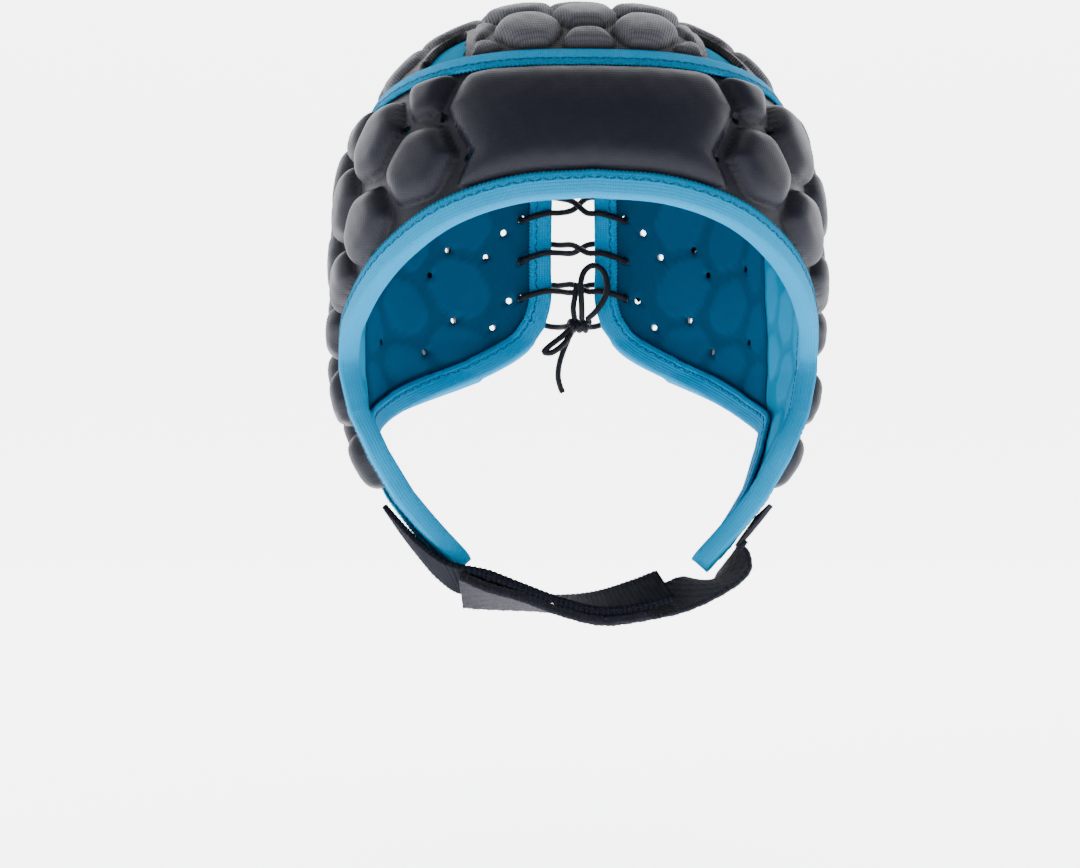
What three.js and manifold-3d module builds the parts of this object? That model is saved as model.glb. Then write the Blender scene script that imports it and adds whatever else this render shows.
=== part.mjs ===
// Rugby scrum cap: foam cells in knit cloth on a blue lining, bound in blue tape,
// laced at the back and fastened under the chin with two overlapping straps.
// Millimetres, +Z up, the face looks along -Y. The origin is the top of the head inside the cap.
import * as THREE from 'three';
import { mergeVertices } from 'three/addons/utils/BufferGeometryUtils.js';
import Module from 'manifold-3d';

const wasm = await Module();
wasm.setup();

// Driving sizes of the head that the cap fits
const headHalfWidth = 81.5;
const headFront = 95;
const headBack = 100;
const headSquareness = 2.7;
const crownToWidest = 95;
const widestToChin = 120;

// Driving sizes of the cap
const capDepth = 200;
const liningThick = 1.2;
const foamThick = 2.5;
const layerGap = 0.4;
const padHeight = 6.6;
const crownPadHeight = 5.6;
const armPadHeight = 3.4;
const foreheadPadHeight = 5.6;
const bindingWidth = 6.5;
const napeBindingWidth = 7.5;
const bindingThick = 1.2;
const bindingGap = 0.8;
const seamGap = 0.5;
const crownSeamGap = 0.9;
const cellPitch = 28.5;
const columnPitch = 26;
const grooveWidth = 5.2;
const firstColumn = 60;
const outlineSlack = 1.2;
const columnDrop = 4.7;
const crownCellPitch = 26.5;
const crownColumnPitch = 24.6;
const crownRadius = 105;
const ventRadius = 1.4;
const laceRadius = 1.25;
const laceHoleRadius = 2.5;
const laceHoleFromEdge = 10.9;
const laceGap = 0.6;
const tiedGap = 0.35;
const strapWidth = 25;
const strapThick = 2.2;
const strapGap = 1.3;
const tabGap = 0.35;
const tabWidth = 20;
const tabThick = 2;

// Heights above the head, from the named layers
const foamLow = liningThick + layerGap;
const foamHigh = foamLow + foamThick;
const bindingLow = -bindingGap - bindingThick;
const bindingHigh = foamHigh + bindingGap + bindingThick;
const padRootDepth = 1.7;
const padRoot = foamHigh - padRootDepth;

// Clear margins round the pads, and the smallest room that still holds one
const padMargin = 1.2;
const seamMargin = 3;
const slotMargin = 3;
const crownRimMargin = 1.6;
const foreheadMargin = grooveWidth - 1.6;
const smallestRoom = 4.2;
const smallestCrownRoom = 2.2;

// A pad rises fully in this much room; in the smallest room it keeps a share of its height
const fullRoom = 9;
const leastRise = 0.45;
const shoulderInset = 2.4;
const shoulderRise = 0.8;

// Where the lattices of the pads begin: drops as shares of the cap's depth, angles in degrees
const bandFirstDrop = 0.29;
const backFirstDrop = 0.398;
const backMiddleAngle = 153;
const crownFirstRow = -43;

// The search for a cell's heart and its outline
const heartTries = 9;
const heartSpread = cellPitch * 1.2;
const heartGain = 0.3;
const outlineRays = 28;
const outlineHalvings = 12;

// How far a cutter reaches past the layers it opens
const cutBelow = 3;
const ventCutAbove = 6;
const ventCutBelow = 2;
const slotCutAbove = 12;

// The lace beside its holes and edges: small lengths, and how far down to the next row it has come
const laceTurn = 2;
const laceBar = 12;
const laceCrossing = 1.6;
const laceRest = 0.2;
const laceEdgeRest = 1;

// The lacing gap lies a little to the wearer's left of the middle
const laceShift = 3.3;
const shiftFrom = 121;
const shiftTo = 160;
const laceHalfGap = 6;

const radians = THREE.MathUtils.degToRad;

// Sections of the head below its widest level: how far down to the chin, and shares of the sizes there
const jawSections = [
  { down: 0, wide: 1, front: 1, back: 1 },
  { down: 0.125, wide: 1.012, front: 0.99, back: 0.99 },
  { down: 0.25, wide: 1.012, front: 0.968, back: 0.95 },
  { down: 0.375, wide: 0.976, front: 0.926, back: 0.88 },
  { down: 0.5, wide: 0.902, front: 0.874, back: 0.8 },
  { down: 0.625, wide: 0.798, front: 0.8, back: 0.7 },
  { down: 0.75, wide: 0.656, front: 0.695, back: 0.58 },
  { down: 0.875, wide: 0.509, front: 0.579, back: 0.46 },
  { down: 1, wide: 0.356, front: 0.463, back: 0.34 },
];

// Edges of the cap: angle round the head from the face, and drop as a share of the cap's depth
const faceEdge = [
  { angle: 0, drop: 0.3375 },
  { angle: 15, drop: 0.3475 },
  { angle: 28, drop: 0.38 },
  { angle: 40, drop: 0.435 },
  { angle: 50, drop: 0.485 },
  { angle: 60, drop: 0.535 },
  { angle: 68, drop: 0.5675 },
  { angle: 73.5, drop: 0.61 },
  { angle: 70, drop: 0.68 },
  { angle: 64, drop: 0.755 },
  { angle: 60.5, drop: 0.825 },
  { angle: 56, drop: 0.89 },
  { angle: 48, drop: 0.955 },
];
const topEdge = [
  { angle: 0, drop: 0.1025 },
  { angle: 20, drop: 0.104 },
  { angle: 40, drop: 0.118 },
  { angle: 60, drop: 0.147 },
  { angle: 90, drop: 0.175 },
  { angle: 121, drop: 0.19 },
];
const seamEdge = [
  { angle: 121, drop: 0.19 },
  { angle: 121.5, drop: 0.33 },
  { angle: 121, drop: 0.5 },
  { angle: 119, drop: 0.65 },
  { angle: 112, drop: 0.74 },
];
const flapRearEdge = [
  { angle: 112, drop: 0.74 },
  { angle: 108, drop: 0.785 },
  { angle: 99, drop: 0.835 },
  { angle: 89, drop: 0.88 },
  { angle: 78, drop: 0.925 },
  { angle: 67, drop: 0.955 },
];
const napeEdge = [
  { angle: 112, drop: 0.74 },
  { angle: 127, drop: 0.71 },
  { angle: 144.5, drop: 0.662 },
  { angle: 160, drop: 0.61 },
  { angle: 168.5, drop: 0.565 },
  { angle: 172.5, drop: 0.52 },
];
const backTopEdge = [
  { angle: 121, drop: 0.19 },
  { angle: 146, drop: 0.2 },
  { angle: 180 - laceHalfGap, drop: 0.2075 },
];
const laceEdge = [
  { angle: 180 - laceHalfGap, drop: 0.2075 },
  { angle: 180 - laceHalfGap, drop: 0.4 },
  { angle: 180 - laceHalfGap, drop: 0.47 },
  { angle: 172.5, drop: 0.52 },
];
// Where the ribs of the band meet its outer edge and its face edge, as shares of each edge
const ribPlaces = [
  { outer: 0, face: 0 },
  { outer: 0.28, face: 0.47 },
  { outer: 0.64, face: 0.62 },
  { outer: 0.78, face: 0.76 },
  { outer: 1, face: 1 },
];
// The forehead pad's sides, from the top down
const foreheadSide = [
  { angle: 30, drop: 0.14 },
  { angle: 31, drop: 0.2 },
  { angle: 24.5, drop: 0.275 },
  { angle: 26.5, drop: 0.335 },
];
// One teardrop slot of the crown: angles sideways and backwards from straight up
const slotOutline = [
  { side: 30.5, back: -42 },
  { side: 37.5, back: -35.5 },
  { side: 33.5, back: -27 },
  { side: 27.5, back: -20.5 },
  { side: 25, back: -21 },
  { side: 26, back: -31 },
];
// Vents of the back panel, at corners of its cells, and those of the brow
const backVents = [
  { angle: 163.5, drop: 0.33 },
  { angle: 159.5, drop: 0.38 },
  { angle: 150.5, drop: 0.368 },
  { angle: 146, drop: 0.42 },
  { angle: 131.5, drop: 0.413 },
  { angle: 165, drop: 0.468 },
  { angle: 161, drop: 0.523 },
  { angle: 152, drop: 0.51 },
  { angle: 144.5, drop: 0.576 },
  { angle: 130, drop: 0.56 },
];
const browVents = [
  { angle: 25, drop: 0.28 },
  { angle: 32, drop: 0.213 },
  { angle: 41.5, drop: 0.225 },
];
// Rows of the lacing: its hole, and where the lace comes in to it and goes out over the edge below it
const laceRows = [
  { hole: 0.237, into: 0.237, over: 0.264 },
  { hole: 0.3025, into: 0.286, over: 0.354 },
  { hole: 0.3865, into: 0.369, over: 0.435 },
  { hole: 0.463, into: 0.449, over: 0.519 },
];
// Cells of the cheek are shorter: below this drop the rows close up
const cheekDrop = 0.5;
const cheekShrink = 0.79;

// The chin strap: its ends lie flat on the cheek flaps, by angle and drop; the rest hangs free under the
// chin, by shares of the head's half width, the head's front and the cap's depth, and its tilt
const innerStrapPath = [
  { angle: 74, drop: 0.872 },
  { angle: 70, drop: 0.895 },
  { angle: 66, drop: 0.918 },
  { angle: 60, drop: 0.944 },
  { side: -0.562, front: 0.392, drop: 1, tilt: -31 },
  { side: -0.417, front: 0.416, drop: 1.009, tilt: -20 },
  { side: -0.27, front: 0.432, drop: 1.025, tilt: -12 },
  { side: -0.098, front: 0.437, drop: 1.04, tilt: -1 },
  { side: 0.074, front: 0.437, drop: 1.045, tilt: 10 },
  { side: 0.245, front: 0.432, drop: 1.0315, tilt: 16 },
  { side: 0.368, front: 0.426, drop: 1.016, tilt: 19 },
];
const outerStrapPath = [
  { side: -0.528, front: 0.395, drop: 1.022, tilt: -29 },
  { side: -0.417, front: 0.416, drop: 1.033, tilt: -20 },
  { side: -0.27, front: 0.432, drop: 1.05, tilt: -14 },
  { side: -0.098, front: 0.437, drop: 1.07, tilt: -4 },
  { side: 0.074, front: 0.437, drop: 1.074, tilt: 7 },
  { side: 0.245, front: 0.432, drop: 1.057, tilt: 15 },
  { side: 0.368, front: 0.426, drop: 1.041, tilt: 19 },
  { side: 0.509, front: 0.41, drop: 1.02, tilt: 14 },
  { side: 0.645, front: 0.345, drop: 1.003, tilt: -14 },
  { angle: 62.5, drop: 0.943 },
  { angle: 65, drop: 0.922 },
];
const strapTabPath = [
  { angle: 67, drop: 0.912 },
  { angle: 70, drop: 0.89 },
  { angle: 73, drop: 0.862 },
];
// Drop at which the cells of the cheek end, above the ends of the strap
const lastPadDrop = 0.845;

// The tied end of the lace: the knot with its two short ends, then the free loop and the free end
const knotMiddle = { x: 8.2, y: 98, z: -104 };
const knotSize = { x: 6, y: 3.1, z: 3.1 };
const shortEndUp = [
  { x: 6.4, y: 97, z: -102 },
  { x: 5.6, y: 95.6, z: -97 },
  { x: 6.4, y: 94.8, z: -91 },
  { x: 6.9, y: 94.4, z: -86.4 },
];
const shortLoopDown = [
  { x: 4.6, y: 97.6, z: -105 },
  { x: 1, y: 97, z: -108.4 },
  { x: -4.4, y: 96.4, z: -112.6 },
  { x: -6.4, y: 96.4, z: -114.8 },
  { x: -3.6, y: 96.4, z: -115.2 },
  { x: 1.6, y: 97, z: -111.6 },
  { x: 5, y: 97.6, z: -107 },
];
const laceBowPath = [
  { x: 11.2, y: 95.7, z: -101.6 },
  { x: 15.2, y: 93, z: -97.6 },
  { x: 18.6, y: 91.6, z: -91.8 },
  { x: 19, y: 91, z: -85.6 },
  { x: 16.6, y: 90.8, z: -80.8 },
  { x: 13, y: 90.8, z: -79.6 },
  { x: 9.8, y: 91, z: -82 },
  { x: 8.4, y: 91, z: -86.6 },
  { x: 8.6, y: 91.6, z: -92 },
  { x: 8.9, y: 92.8, z: -97 },
  { x: 9.1, y: 95.4, z: -101.5 },
];
const laceTailPath = [
  { x: 8.6, y: 102.7, z: -103.8 },
  { x: 5.4, y: 103, z: -106.4 },
  { x: 3.4, y: 101.6, z: -110.6 },
  { x: 1.4, y: 100.4, z: -115.4 },
  { x: 0, y: 99.8, z: -120.2 },
  { x: -0.4, y: 99.6, z: -125.2 },
  { x: 0.6, y: 99.6, z: -129.4 },
  { x: 1.6, y: 99.6, z: -131.6 },
];

// Half width, front and back of the head at a height
function headSection(z) {
  const drop = -z;
  if (drop <= crownToWidest) {
    const rise = Math.abs((crownToWidest - drop) / crownToWidest);
    const share = Math.pow(Math.max(1 - Math.pow(rise, headSquareness), 0), 1 / headSquareness);
    return { wide: headHalfWidth * share, front: headFront * share, back: headBack * share };
  }
  const down = (drop - crownToWidest) / widestToChin;
  const wide = headHalfWidth * readTable(jawSections, 'down', 'wide', down);
  const front = headFront * readTable(jawSections, 'down', 'front', down);
  const back = headBack * readTable(jawSections, 'down', 'back', down);
  return { wide, front, back };
}

// Linear reading of a table, continued past its last row
function readTable(rows, key, value, at) {
  let i = 1;
  while (i < rows.length - 1 && rows[i][key] < at) i += 1;
  const share = (at - rows[i - 1][key]) / (rows[i][key] - rows[i - 1][key]);
  return rows[i - 1][value] + (rows[i][value] - rows[i - 1][value]) * share;
}

// A point of the head at an angle in degrees and a height
function headPoint(angle, z) {
  const { wide, front, back } = headSection(z);
  const turn = radians(angle);
  const across = Math.abs(Math.sin(turn)) / wide;
  const along = Math.abs(Math.cos(turn)) / (Math.cos(turn) > 0 ? front : back);
  const sum = Math.pow(across, headSquareness) + Math.pow(along, headSquareness);
  const reach = Math.pow(sum, -1 / headSquareness);
  return new THREE.Vector3(reach * Math.sin(turn), -reach * Math.cos(turn), z);
}

// Length round the widest level from the face, one value for each degree
const girth = [0];
for (let angle = 1; angle <= 180; angle += 1) {
  const step = headPoint(angle, -crownToWidest).distanceTo(headPoint(angle - 1, -crownToWidest));
  girth.push(girth[angle - 1] + step);
}

function lengthAt(angle) {
  const low = Math.min(Math.floor(angle), 179);
  return girth[low] + (girth[low + 1] - girth[low]) * (angle - low);
}

function angleAt(length) {
  let low = 0;
  while (low < 179 && girth[low + 1] < length) low += 1;
  return low + (length - girth[low]) / (girth[low + 1] - girth[low]);
}

// The pattern of the sides: u is the length round the head, v the height; both in millimetres
function wallSurface(u, v) {
  const nominal = angleAt(Math.abs(u));
  const shift = laceShift * THREE.MathUtils.smoothstep(nominal, shiftFrom, shiftTo);
  return headPoint(Math.sign(u) * nominal - shift, v);
}

// The pattern of the crown: u to the side and v to the back, both as lengths from straight up
function crownSurface(u, v) {
  const way = new THREE.Vector3(Math.tan(u / crownRadius), Math.tan(v / crownRadius), 1);
  const x = Math.abs(way.x) / headHalfWidth;
  const y = Math.abs(way.y) / (way.y < 0 ? headFront : headBack);
  const z = 1 / crownToWidest;
  const sum = Math.pow(x, headSquareness) + Math.pow(y, headSquareness) + Math.pow(z, headSquareness);
  const reach = Math.pow(sum, -1 / headSquareness);
  return new THREE.Vector3(way.x * reach, way.y * reach, reach - crownToWidest);
}

// Lifts a pattern point off the head along the surface's normal
function lifted(surface, u, v, lift) {
  const step = 0.4;
  const alongU = surface(u + step, v).sub(surface(u - step, v));
  const alongV = surface(u, v + step).sub(surface(u, v - step));
  const normal = alongU.cross(alongV).normalize();
  const point = surface(u, v);
  const outward = point.clone().setZ(point.z + crownToWidest);
  if (normal.dot(outward) < 0) normal.negate();
  return point.addScaledVector(normal, lift);
}

// Real millimetres for one of pattern, sideways and up
function patternScale(surface, u, v) {
  const step = 0.5;
  const wide = surface(u + step, v).distanceTo(surface(u - step, v)) / (2 * step);
  const tall = surface(u, v + step).distanceTo(surface(u, v - step)) / (2 * step);
  return { wide, tall };
}

// The crown's pattern point for a point of the head
function crownPattern(point) {
  const rise = point.z + crownToWidest;
  return [crownRadius * Math.atan(point.x / rise), crownRadius * Math.atan(point.y / rise)];
}

// Smooth edge through the rows of a table, as pattern points at shares of its length
function edgeAt(rows, shares) {
  const points = rows.map((row) => new THREE.Vector3(lengthAt(row.angle), -row.drop * capDepth, 0));
  const curve = new THREE.CatmullRomCurve3(points, false, 'centripetal');
  curve.arcLengthDivisions = 400;
  return shares.map((share) => curve.getPointAt(share)).map((p) => [p.x, p.y]);
}

const evenShares = (count) => Array.from({ length: count + 1 }, (_, i) => i / count);

const mirrored = (points) => points.map(([u, v]) => [-u, v]);

// Closed solid from a surface's triangles
function solidFromTriangles(corners) {
  let volume = 0;
  for (let i = 0; i < corners.length; i += 3) {
    const [a, b, c] = corners.slice(i, i + 3);
    volume += a.dot(b.clone().cross(c)) / 6;
  }
  const values = [];
  for (let i = 0; i < corners.length; i += 3) {
    const face = corners.slice(i, i + 3);
    if (volume < 0) face.reverse();
    face.forEach((p) => values.push(p.x, p.y, p.z));
  }
  const geometry = new THREE.BufferGeometry();
  geometry.setAttribute('position', new THREE.Float32BufferAttribute(values, 3));
  return mergeVertices(geometry, 1e-3);
}

// Closed solid between an outer and an inner grid of points
function shell(outer, inner) {
  const rows = outer.length;
  const columns = outer[0].length;
  const corners = [];
  const quad = (a, b, c, d) => corners.push(a, b, c, a, c, d);
  for (let i = 0; i + 1 < rows; i += 1) {
    for (let j = 0; j + 1 < columns; j += 1) {
      quad(outer[i][j], outer[i + 1][j], outer[i + 1][j + 1], outer[i][j + 1]);
      quad(inner[i][j], inner[i][j + 1], inner[i + 1][j + 1], inner[i + 1][j]);
    }
    quad(outer[i][0], inner[i][0], inner[i + 1][0], outer[i + 1][0]);
    const last = columns - 1;
    quad(outer[i][last], outer[i + 1][last], inner[i + 1][last], inner[i][last]);
  }
  for (let j = 0; j + 1 < columns; j += 1) {
    quad(outer[0][j], outer[0][j + 1], inner[0][j + 1], inner[0][j]);
    const last = rows - 1;
    quad(outer[last][j], inner[last][j], inner[last][j + 1], outer[last][j + 1]);
  }
  return solidFromTriangles(corners);
}

// A layer over a grid of pattern points, between two heights
function layer(surface, grid, low, high) {
  const lift = (height) => grid.map((row) => row.map(([u, v]) => lifted(surface, u, v, height)));
  return shell(lift(high), lift(low));
}

// Closed solid from rings of equal count, with a middle point at each end or none for a closed sweep
function ringSolid(rings, firstMiddle, lastMiddle) {
  const corners = [];
  const count = rings[0].length;
  for (let i = 0; i + 1 < rings.length; i += 1) {
    for (let k = 0; k < count; k += 1) {
      const next = (k + 1) % count;
      corners.push(rings[i][k], rings[i][next], rings[i + 1][next]);
      corners.push(rings[i][k], rings[i + 1][next], rings[i + 1][k]);
    }
  }
  const last = rings[rings.length - 1];
  for (let k = 0; k < count; k += 1) {
    const next = (k + 1) % count;
    corners.push(rings[0][next], rings[0][k], firstMiddle);
    corners.push(last[k], last[next], lastMiddle);
  }
  return solidFromTriangles(corners);
}

function toManifold(geometry) {
  const merged = mergeVertices(geometry.clone().deleteAttribute('normal').deleteAttribute('uv'), 1e-3);
  const vertProperties = new Float32Array(merged.attributes.position.array);
  const triVerts = new Uint32Array(merged.index.array);
  return new wasm.Manifold(new wasm.Mesh({ numProp: 3, vertProperties, triVerts }));
}

function fromManifold(solid) {
  const { vertProperties, triVerts } = solid.getMesh();
  const geometry = new THREE.BufferGeometry();
  geometry.setAttribute('position', new THREE.Float32BufferAttribute(vertProperties, 3));
  geometry.setIndex(new THREE.Uint32BufferAttribute(triVerts, 1));
  return geometry;
}

function joined(base, additions) {
  let solid = toManifold(base);
  additions.forEach((addition) => {
    solid = solid.add(toManifold(addition));
  });
  return fromManifold(solid);
}

function cutBy(base, cutters) {
  let solid = toManifold(base);
  cutters.forEach((cutter) => {
    solid = solid.subtract(toManifold(cutter));
  });
  return fromManifold(solid);
}

// A grid between four edges that share their corners, with the shares of its columns and rows
function patch(bottom, top, left, right, across, upwards) {
  const columns = bottom.length - 1;
  const rows = left.length - 1;
  return bottom.map((low, i) => left.map((side, j) => {
    const s = across ? across[i] : i / columns;
    const t = upwards ? upwards[j] : j / rows;
    return [0, 1].map((axis) => {
      const upTo = (1 - t) * low[axis] + t * top[i][axis];
      const along = (1 - s) * side[axis] + s * right[j][axis];
      const ends = (1 - s) * (1 - t) * bottom[0][axis] + s * (1 - t) * bottom[columns][axis]
        + (1 - s) * t * top[0][axis] + s * t * top[columns][axis];
      return upTo + along - ends;
    });
  }));
}

// Distance from a point to a line of points, in real millimetres
function distanceTo(point, line, scale) {
  let best = Infinity;
  for (let i = 0; i + 1 < line.length; i += 1) {
    const ax = (line[i][0] - point[0]) * scale.wide;
    const ay = (line[i][1] - point[1]) * scale.tall;
    const bx = (line[i + 1][0] - point[0]) * scale.wide;
    const by = (line[i + 1][1] - point[1]) * scale.tall;
    const dx = bx - ax;
    const dy = by - ay;
    const share = THREE.MathUtils.clamp(-(ax * dx + ay * dy) / (dx * dx + dy * dy), 0, 1);
    best = Math.min(best, Math.hypot(ax + dx * share, ay + dy * share));
  }
  return best;
}

function inside(point, outline) {
  let odd = false;
  outline.forEach(([ax, ay], i) => {
    const [bx, by] = outline[(i + 1) % outline.length];
    if ((ay > point[1]) !== (by > point[1])) {
      if (point[0] < ((bx - ax) * (point[1] - ay)) / (by - ay) + ax) odd = !odd;
    }
  });
  return odd;
}

// The corners of a cell, cut back to its margins. Each limit is a line of points with a clear distance.
function cellOutline(surface, corners, panel, limits, smallest) {
  const middle = [0, 1].map((axis) => corners.reduce((sum, c) => sum + c[axis], 0) / corners.length);
  const scale = patternScale(surface, middle[0], middle[1]);
  const ring = [...corners, corners[0]];
  const room = (point) => {
    if (!inside(point, corners) || !inside(point, panel)) return -1;
    const own = distanceTo(point, ring, scale) - grooveWidth / 2;
    return limits.reduce((least, limit) => Math.min(least, distanceTo(point, limit.line, scale) - limit.clear), own);
  };
  let heart = middle;
  let widest = room(middle);
  const tryAt = (i) => (i / heartTries - 0.5) * heartSpread;
  for (let i = 1; i < heartTries; i += 1) {
    for (let j = 1; j < heartTries; j += 1) {
      const point = [middle[0] + tryAt(i), middle[1] + tryAt(j)];
      const found = room(point);
      if (found > widest + heartGain) {
        widest = found;
        heart = point;
      }
    }
  }
  if (widest < smallest) return null;
  const outline = [];
  for (let k = 0; k < outlineRays; k += 1) {
    const turn = (2 * Math.PI * k) / outlineRays;
    const way = [Math.cos(turn) / scale.wide, Math.sin(turn) / scale.tall];
    let near = 0;
    let far = cellPitch;
    for (let halving = 0; halving < outlineHalvings; halving += 1) {
      const reach = (near + far) / 2;
      if (room([heart[0] + way[0] * reach, heart[1] + way[1] * reach]) > 0) near = reach;
      else far = reach;
    }
    outline.push([heart[0] + way[0] * near, heart[1] + way[1] * near]);
  }
  return { heart, outline: simplified(outline, scale, outlineSlack), room: widest };
}

// Drops points of a ring that lie nearly on the line between their neighbours
function simplified(outline, scale, slack) {
  const kept = [...outline];
  let again = true;
  while (again && kept.length > 5) {
    again = false;
    let flattest = slack;
    let at = -1;
    kept.forEach((point, i) => {
      const before = kept[(i + kept.length - 1) % kept.length];
      const after = kept[(i + 1) % kept.length];
      const off = distanceTo(point, [before, after], scale);
      if (off < flattest) {
        flattest = off;
        at = i;
      }
    });
    if (at >= 0) {
      kept.splice(at, 1);
      again = true;
    }
  }
  return kept;
}

// A domed pad on a cell's outline: straight foot, shoulder and crown
function pad(surface, cell, height) {
  const full = Math.min(1, cell.room / fullRoom);
  const rise = height * (leastRise + (1 - leastRise) * full);
  const ring = (inset, lift) => cell.outline.map(([u, v]) => {
    const share = 1 - Math.min(inset / Math.max(cell.room, 3), 0.8);
    return lifted(surface, cell.heart[0] + (u - cell.heart[0]) * share,
      cell.heart[1] + (v - cell.heart[1]) * share, lift);
  });
  const rings = [ring(0, padRoot), ring(shoulderInset, foamHigh + rise * shoulderRise)];
  const [u, v] = cell.heart;
  return ringSolid(rings, lifted(surface, u, v, padRoot), lifted(surface, u, v, foamHigh + rise));
}

// Corners of a six-sided cell, flat above and below, in the sheared pattern
function cellCorners(middle, pitchAcross, pitchUp, shear) {
  const side = pitchAcross / 1.5;
  const half = pitchUp / 2;
  const shape = [[side, 0], [side / 2, half], [-side / 2, half], [-side, 0], [-side / 2, -half], [side / 2, -half]];
  return shape.map(([x, y]) => [middle[0] + x, middle[1] + y - shear * x]);
}

// Rows of the cheek close up below a height
function closedUp(v) {
  const limit = -cheekDrop * capDepth;
  return v < limit ? limit + (v - limit) * cheekShrink : v;
}

// All the cells of one side of the band or of one back panel
function sideCells(panel, limits, first, firstDrop, columns) {
  const cells = [];
  const shear = columnDrop / columnPitch;
  for (let column = 0; column < columns; column += 1) {
    const u = first + column * columnPitch;
    const offset = column % 2 ? cellPitch / 2 : 0;
    for (let row = -6; row <= 3; row += 1) {
      const v = -firstDrop * capDepth - shear * (u - first) + offset + row * cellPitch;
      const corners = cellCorners([u, v], columnPitch, cellPitch, shear).map(([x, y]) => [x, closedUp(y)]);
      const cell = cellOutline(wallSurface, corners, panel, limits, smallestRoom);
      if (cell) cells.push(cell);
    }
  }
  return cells;
}

// A prism through the layers round pattern points
function cutter(surface, outline, low, high) {
  const middle = [0, 1].map((axis) => outline.reduce((sum, p) => sum + p[axis], 0) / outline.length);
  const ring = (lift) => outline.map(([u, v]) => lifted(surface, u, v, lift));
  return ringSolid([ring(low), ring(high)], lifted(surface, ...middle, low), lifted(surface, ...middle, high));
}

function roundHole(surface, u, v, radius, sides) {
  const scale = patternScale(surface, u, v);
  const outline = Array.from({ length: sides }, (_, k) => {
    const turn = (2 * Math.PI * k) / sides;
    return [u + (radius * Math.cos(turn)) / scale.wide, v + (radius * Math.sin(turn)) / scale.tall];
  });
  return cutter(surface, outline, bindingLow - ventCutBelow, bindingHigh + ventCutAbove);
}

// A pattern point moved inwards from an edge by a real distance
function inwards(surface, point, tangent, distance) {
  const [u, v] = point;
  const step = 0.4;
  const alongU = surface(u + step, v).sub(surface(u - step, v)).multiplyScalar(1 / (2 * step));
  const alongV = surface(u, v + step).sub(surface(u, v - step)).multiplyScalar(1 / (2 * step));
  const along = alongU.clone().multiplyScalar(tangent[0]).addScaledVector(alongV, tangent[1]);
  const normal = alongU.clone().cross(alongV).normalize();
  const way = normal.cross(along).normalize();
  const uu = alongU.dot(alongU);
  const uv = alongU.dot(alongV);
  const vv = alongV.dot(alongV);
  const wu = way.dot(alongU);
  const wv = way.dot(alongV);
  const det = uu * vv - uv * uv;
  return [u + (distance * (wu * vv - wv * uv)) / det, v + (distance * (wv * uu - wu * uv)) / det];
}

// Tape folded over an edge: its section is a U of two legs and a back, swept along the edge
function binding(edge, width, side) {
  const out = -bindingGap - bindingThick;
  const section = [
    [width, bindingHigh], [out, bindingHigh], [out, bindingLow], [width, bindingLow],
    [width, -bindingGap], [-bindingGap, -bindingGap], [-bindingGap, foamHigh + bindingGap],
    [width, foamHigh + bindingGap],
  ];
  const rings = edge.map((point, i) => section.map(([distance, lift]) => {
    const [u, v] = offLine(edge, i, distance * side);
    return lifted(wallSurface, u, v, lift);
  }));
  const corners = [];
  const count = section.length;
  for (let i = 0; i + 1 < rings.length; i += 1) {
    for (let k = 0; k < count; k += 1) {
      const next = (k + 1) % count;
      corners.push(rings[i][k], rings[i][next], rings[i + 1][next]);
      corners.push(rings[i][k], rings[i + 1][next], rings[i + 1][k]);
    }
  }
  const cap = [[0, 1, 6], [0, 6, 7], [1, 2, 5], [1, 5, 6], [2, 3, 4], [2, 4, 5]];
  const last = rings[rings.length - 1];
  cap.forEach(([a, b, c]) => {
    corners.push(rings[0][b], rings[0][a], rings[0][c]);
    corners.push(last[a], last[b], last[c]);
  });
  return solidFromTriangles(corners);
}

// A row of a strap's path: its middle, and the way off the flap where it lies on one
function strapRow(row, side, thickness, gap) {
  if (row.angle === undefined) {
    const middle = new THREE.Vector3(row.side * headHalfWidth, -row.front * headFront, -row.drop * capDepth);
    return { middle, tilt: row.tilt };
  }
  const lift = bindingHigh + gap + thickness / 2;
  const place = [side * lengthAt(row.angle), -row.drop * capDepth];
  const middle = lifted(wallSurface, ...place, lift);
  return { middle, outward: lifted(wallSurface, ...place, lift + 1).sub(middle) };
}

// Flat webbing along a path: flat on the flap where it lies on one, else level across and then tilted
function webbing(path, side, width, thickness, gap, steps) {
  const rows = path.map((row) => strapRow(row, side, thickness, gap));
  const line = new THREE.CatmullRomCurve3(rows.map((row) => row.middle));
  const acrossAt = rows.map((row, i) => {
    const tangent = line.getTangent(i / (rows.length - 1));
    const level = new THREE.Vector3(-tangent.y, tangent.x, 0).normalize();
    if (row.outward) {
      const flat = row.outward.clone().cross(tangent).normalize();
      return flat.dot(level) < 0 ? flat.negate() : flat;
    }
    return level.applyAxisAngle(tangent, radians(row.tilt));
  });
  const turning = new THREE.CatmullRomCurve3(acrossAt);
  const rings = [];
  for (let i = 0; i <= steps; i += 1) {
    const middle = line.getPoint(i / steps);
    const tangent = line.getTangent(i / steps);
    const up = tangent.clone().cross(turning.getPoint(i / steps)).normalize();
    const across = up.clone().cross(tangent).normalize();
    rings.push([[0.5, 0.5], [-0.5, 0.5], [-0.5, -0.5], [0.5, -0.5]].map(([a, b]) => middle.clone()
      .addScaledVector(across, a * width)
      .addScaledVector(up, b * thickness)));
  }
  const middleOf = (ring) => ring.reduce((sum, p) => sum.add(p), new THREE.Vector3()).divideScalar(4);
  return ringSolid(rings, middleOf(rings[0]), middleOf(rings[steps]));
}

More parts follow.
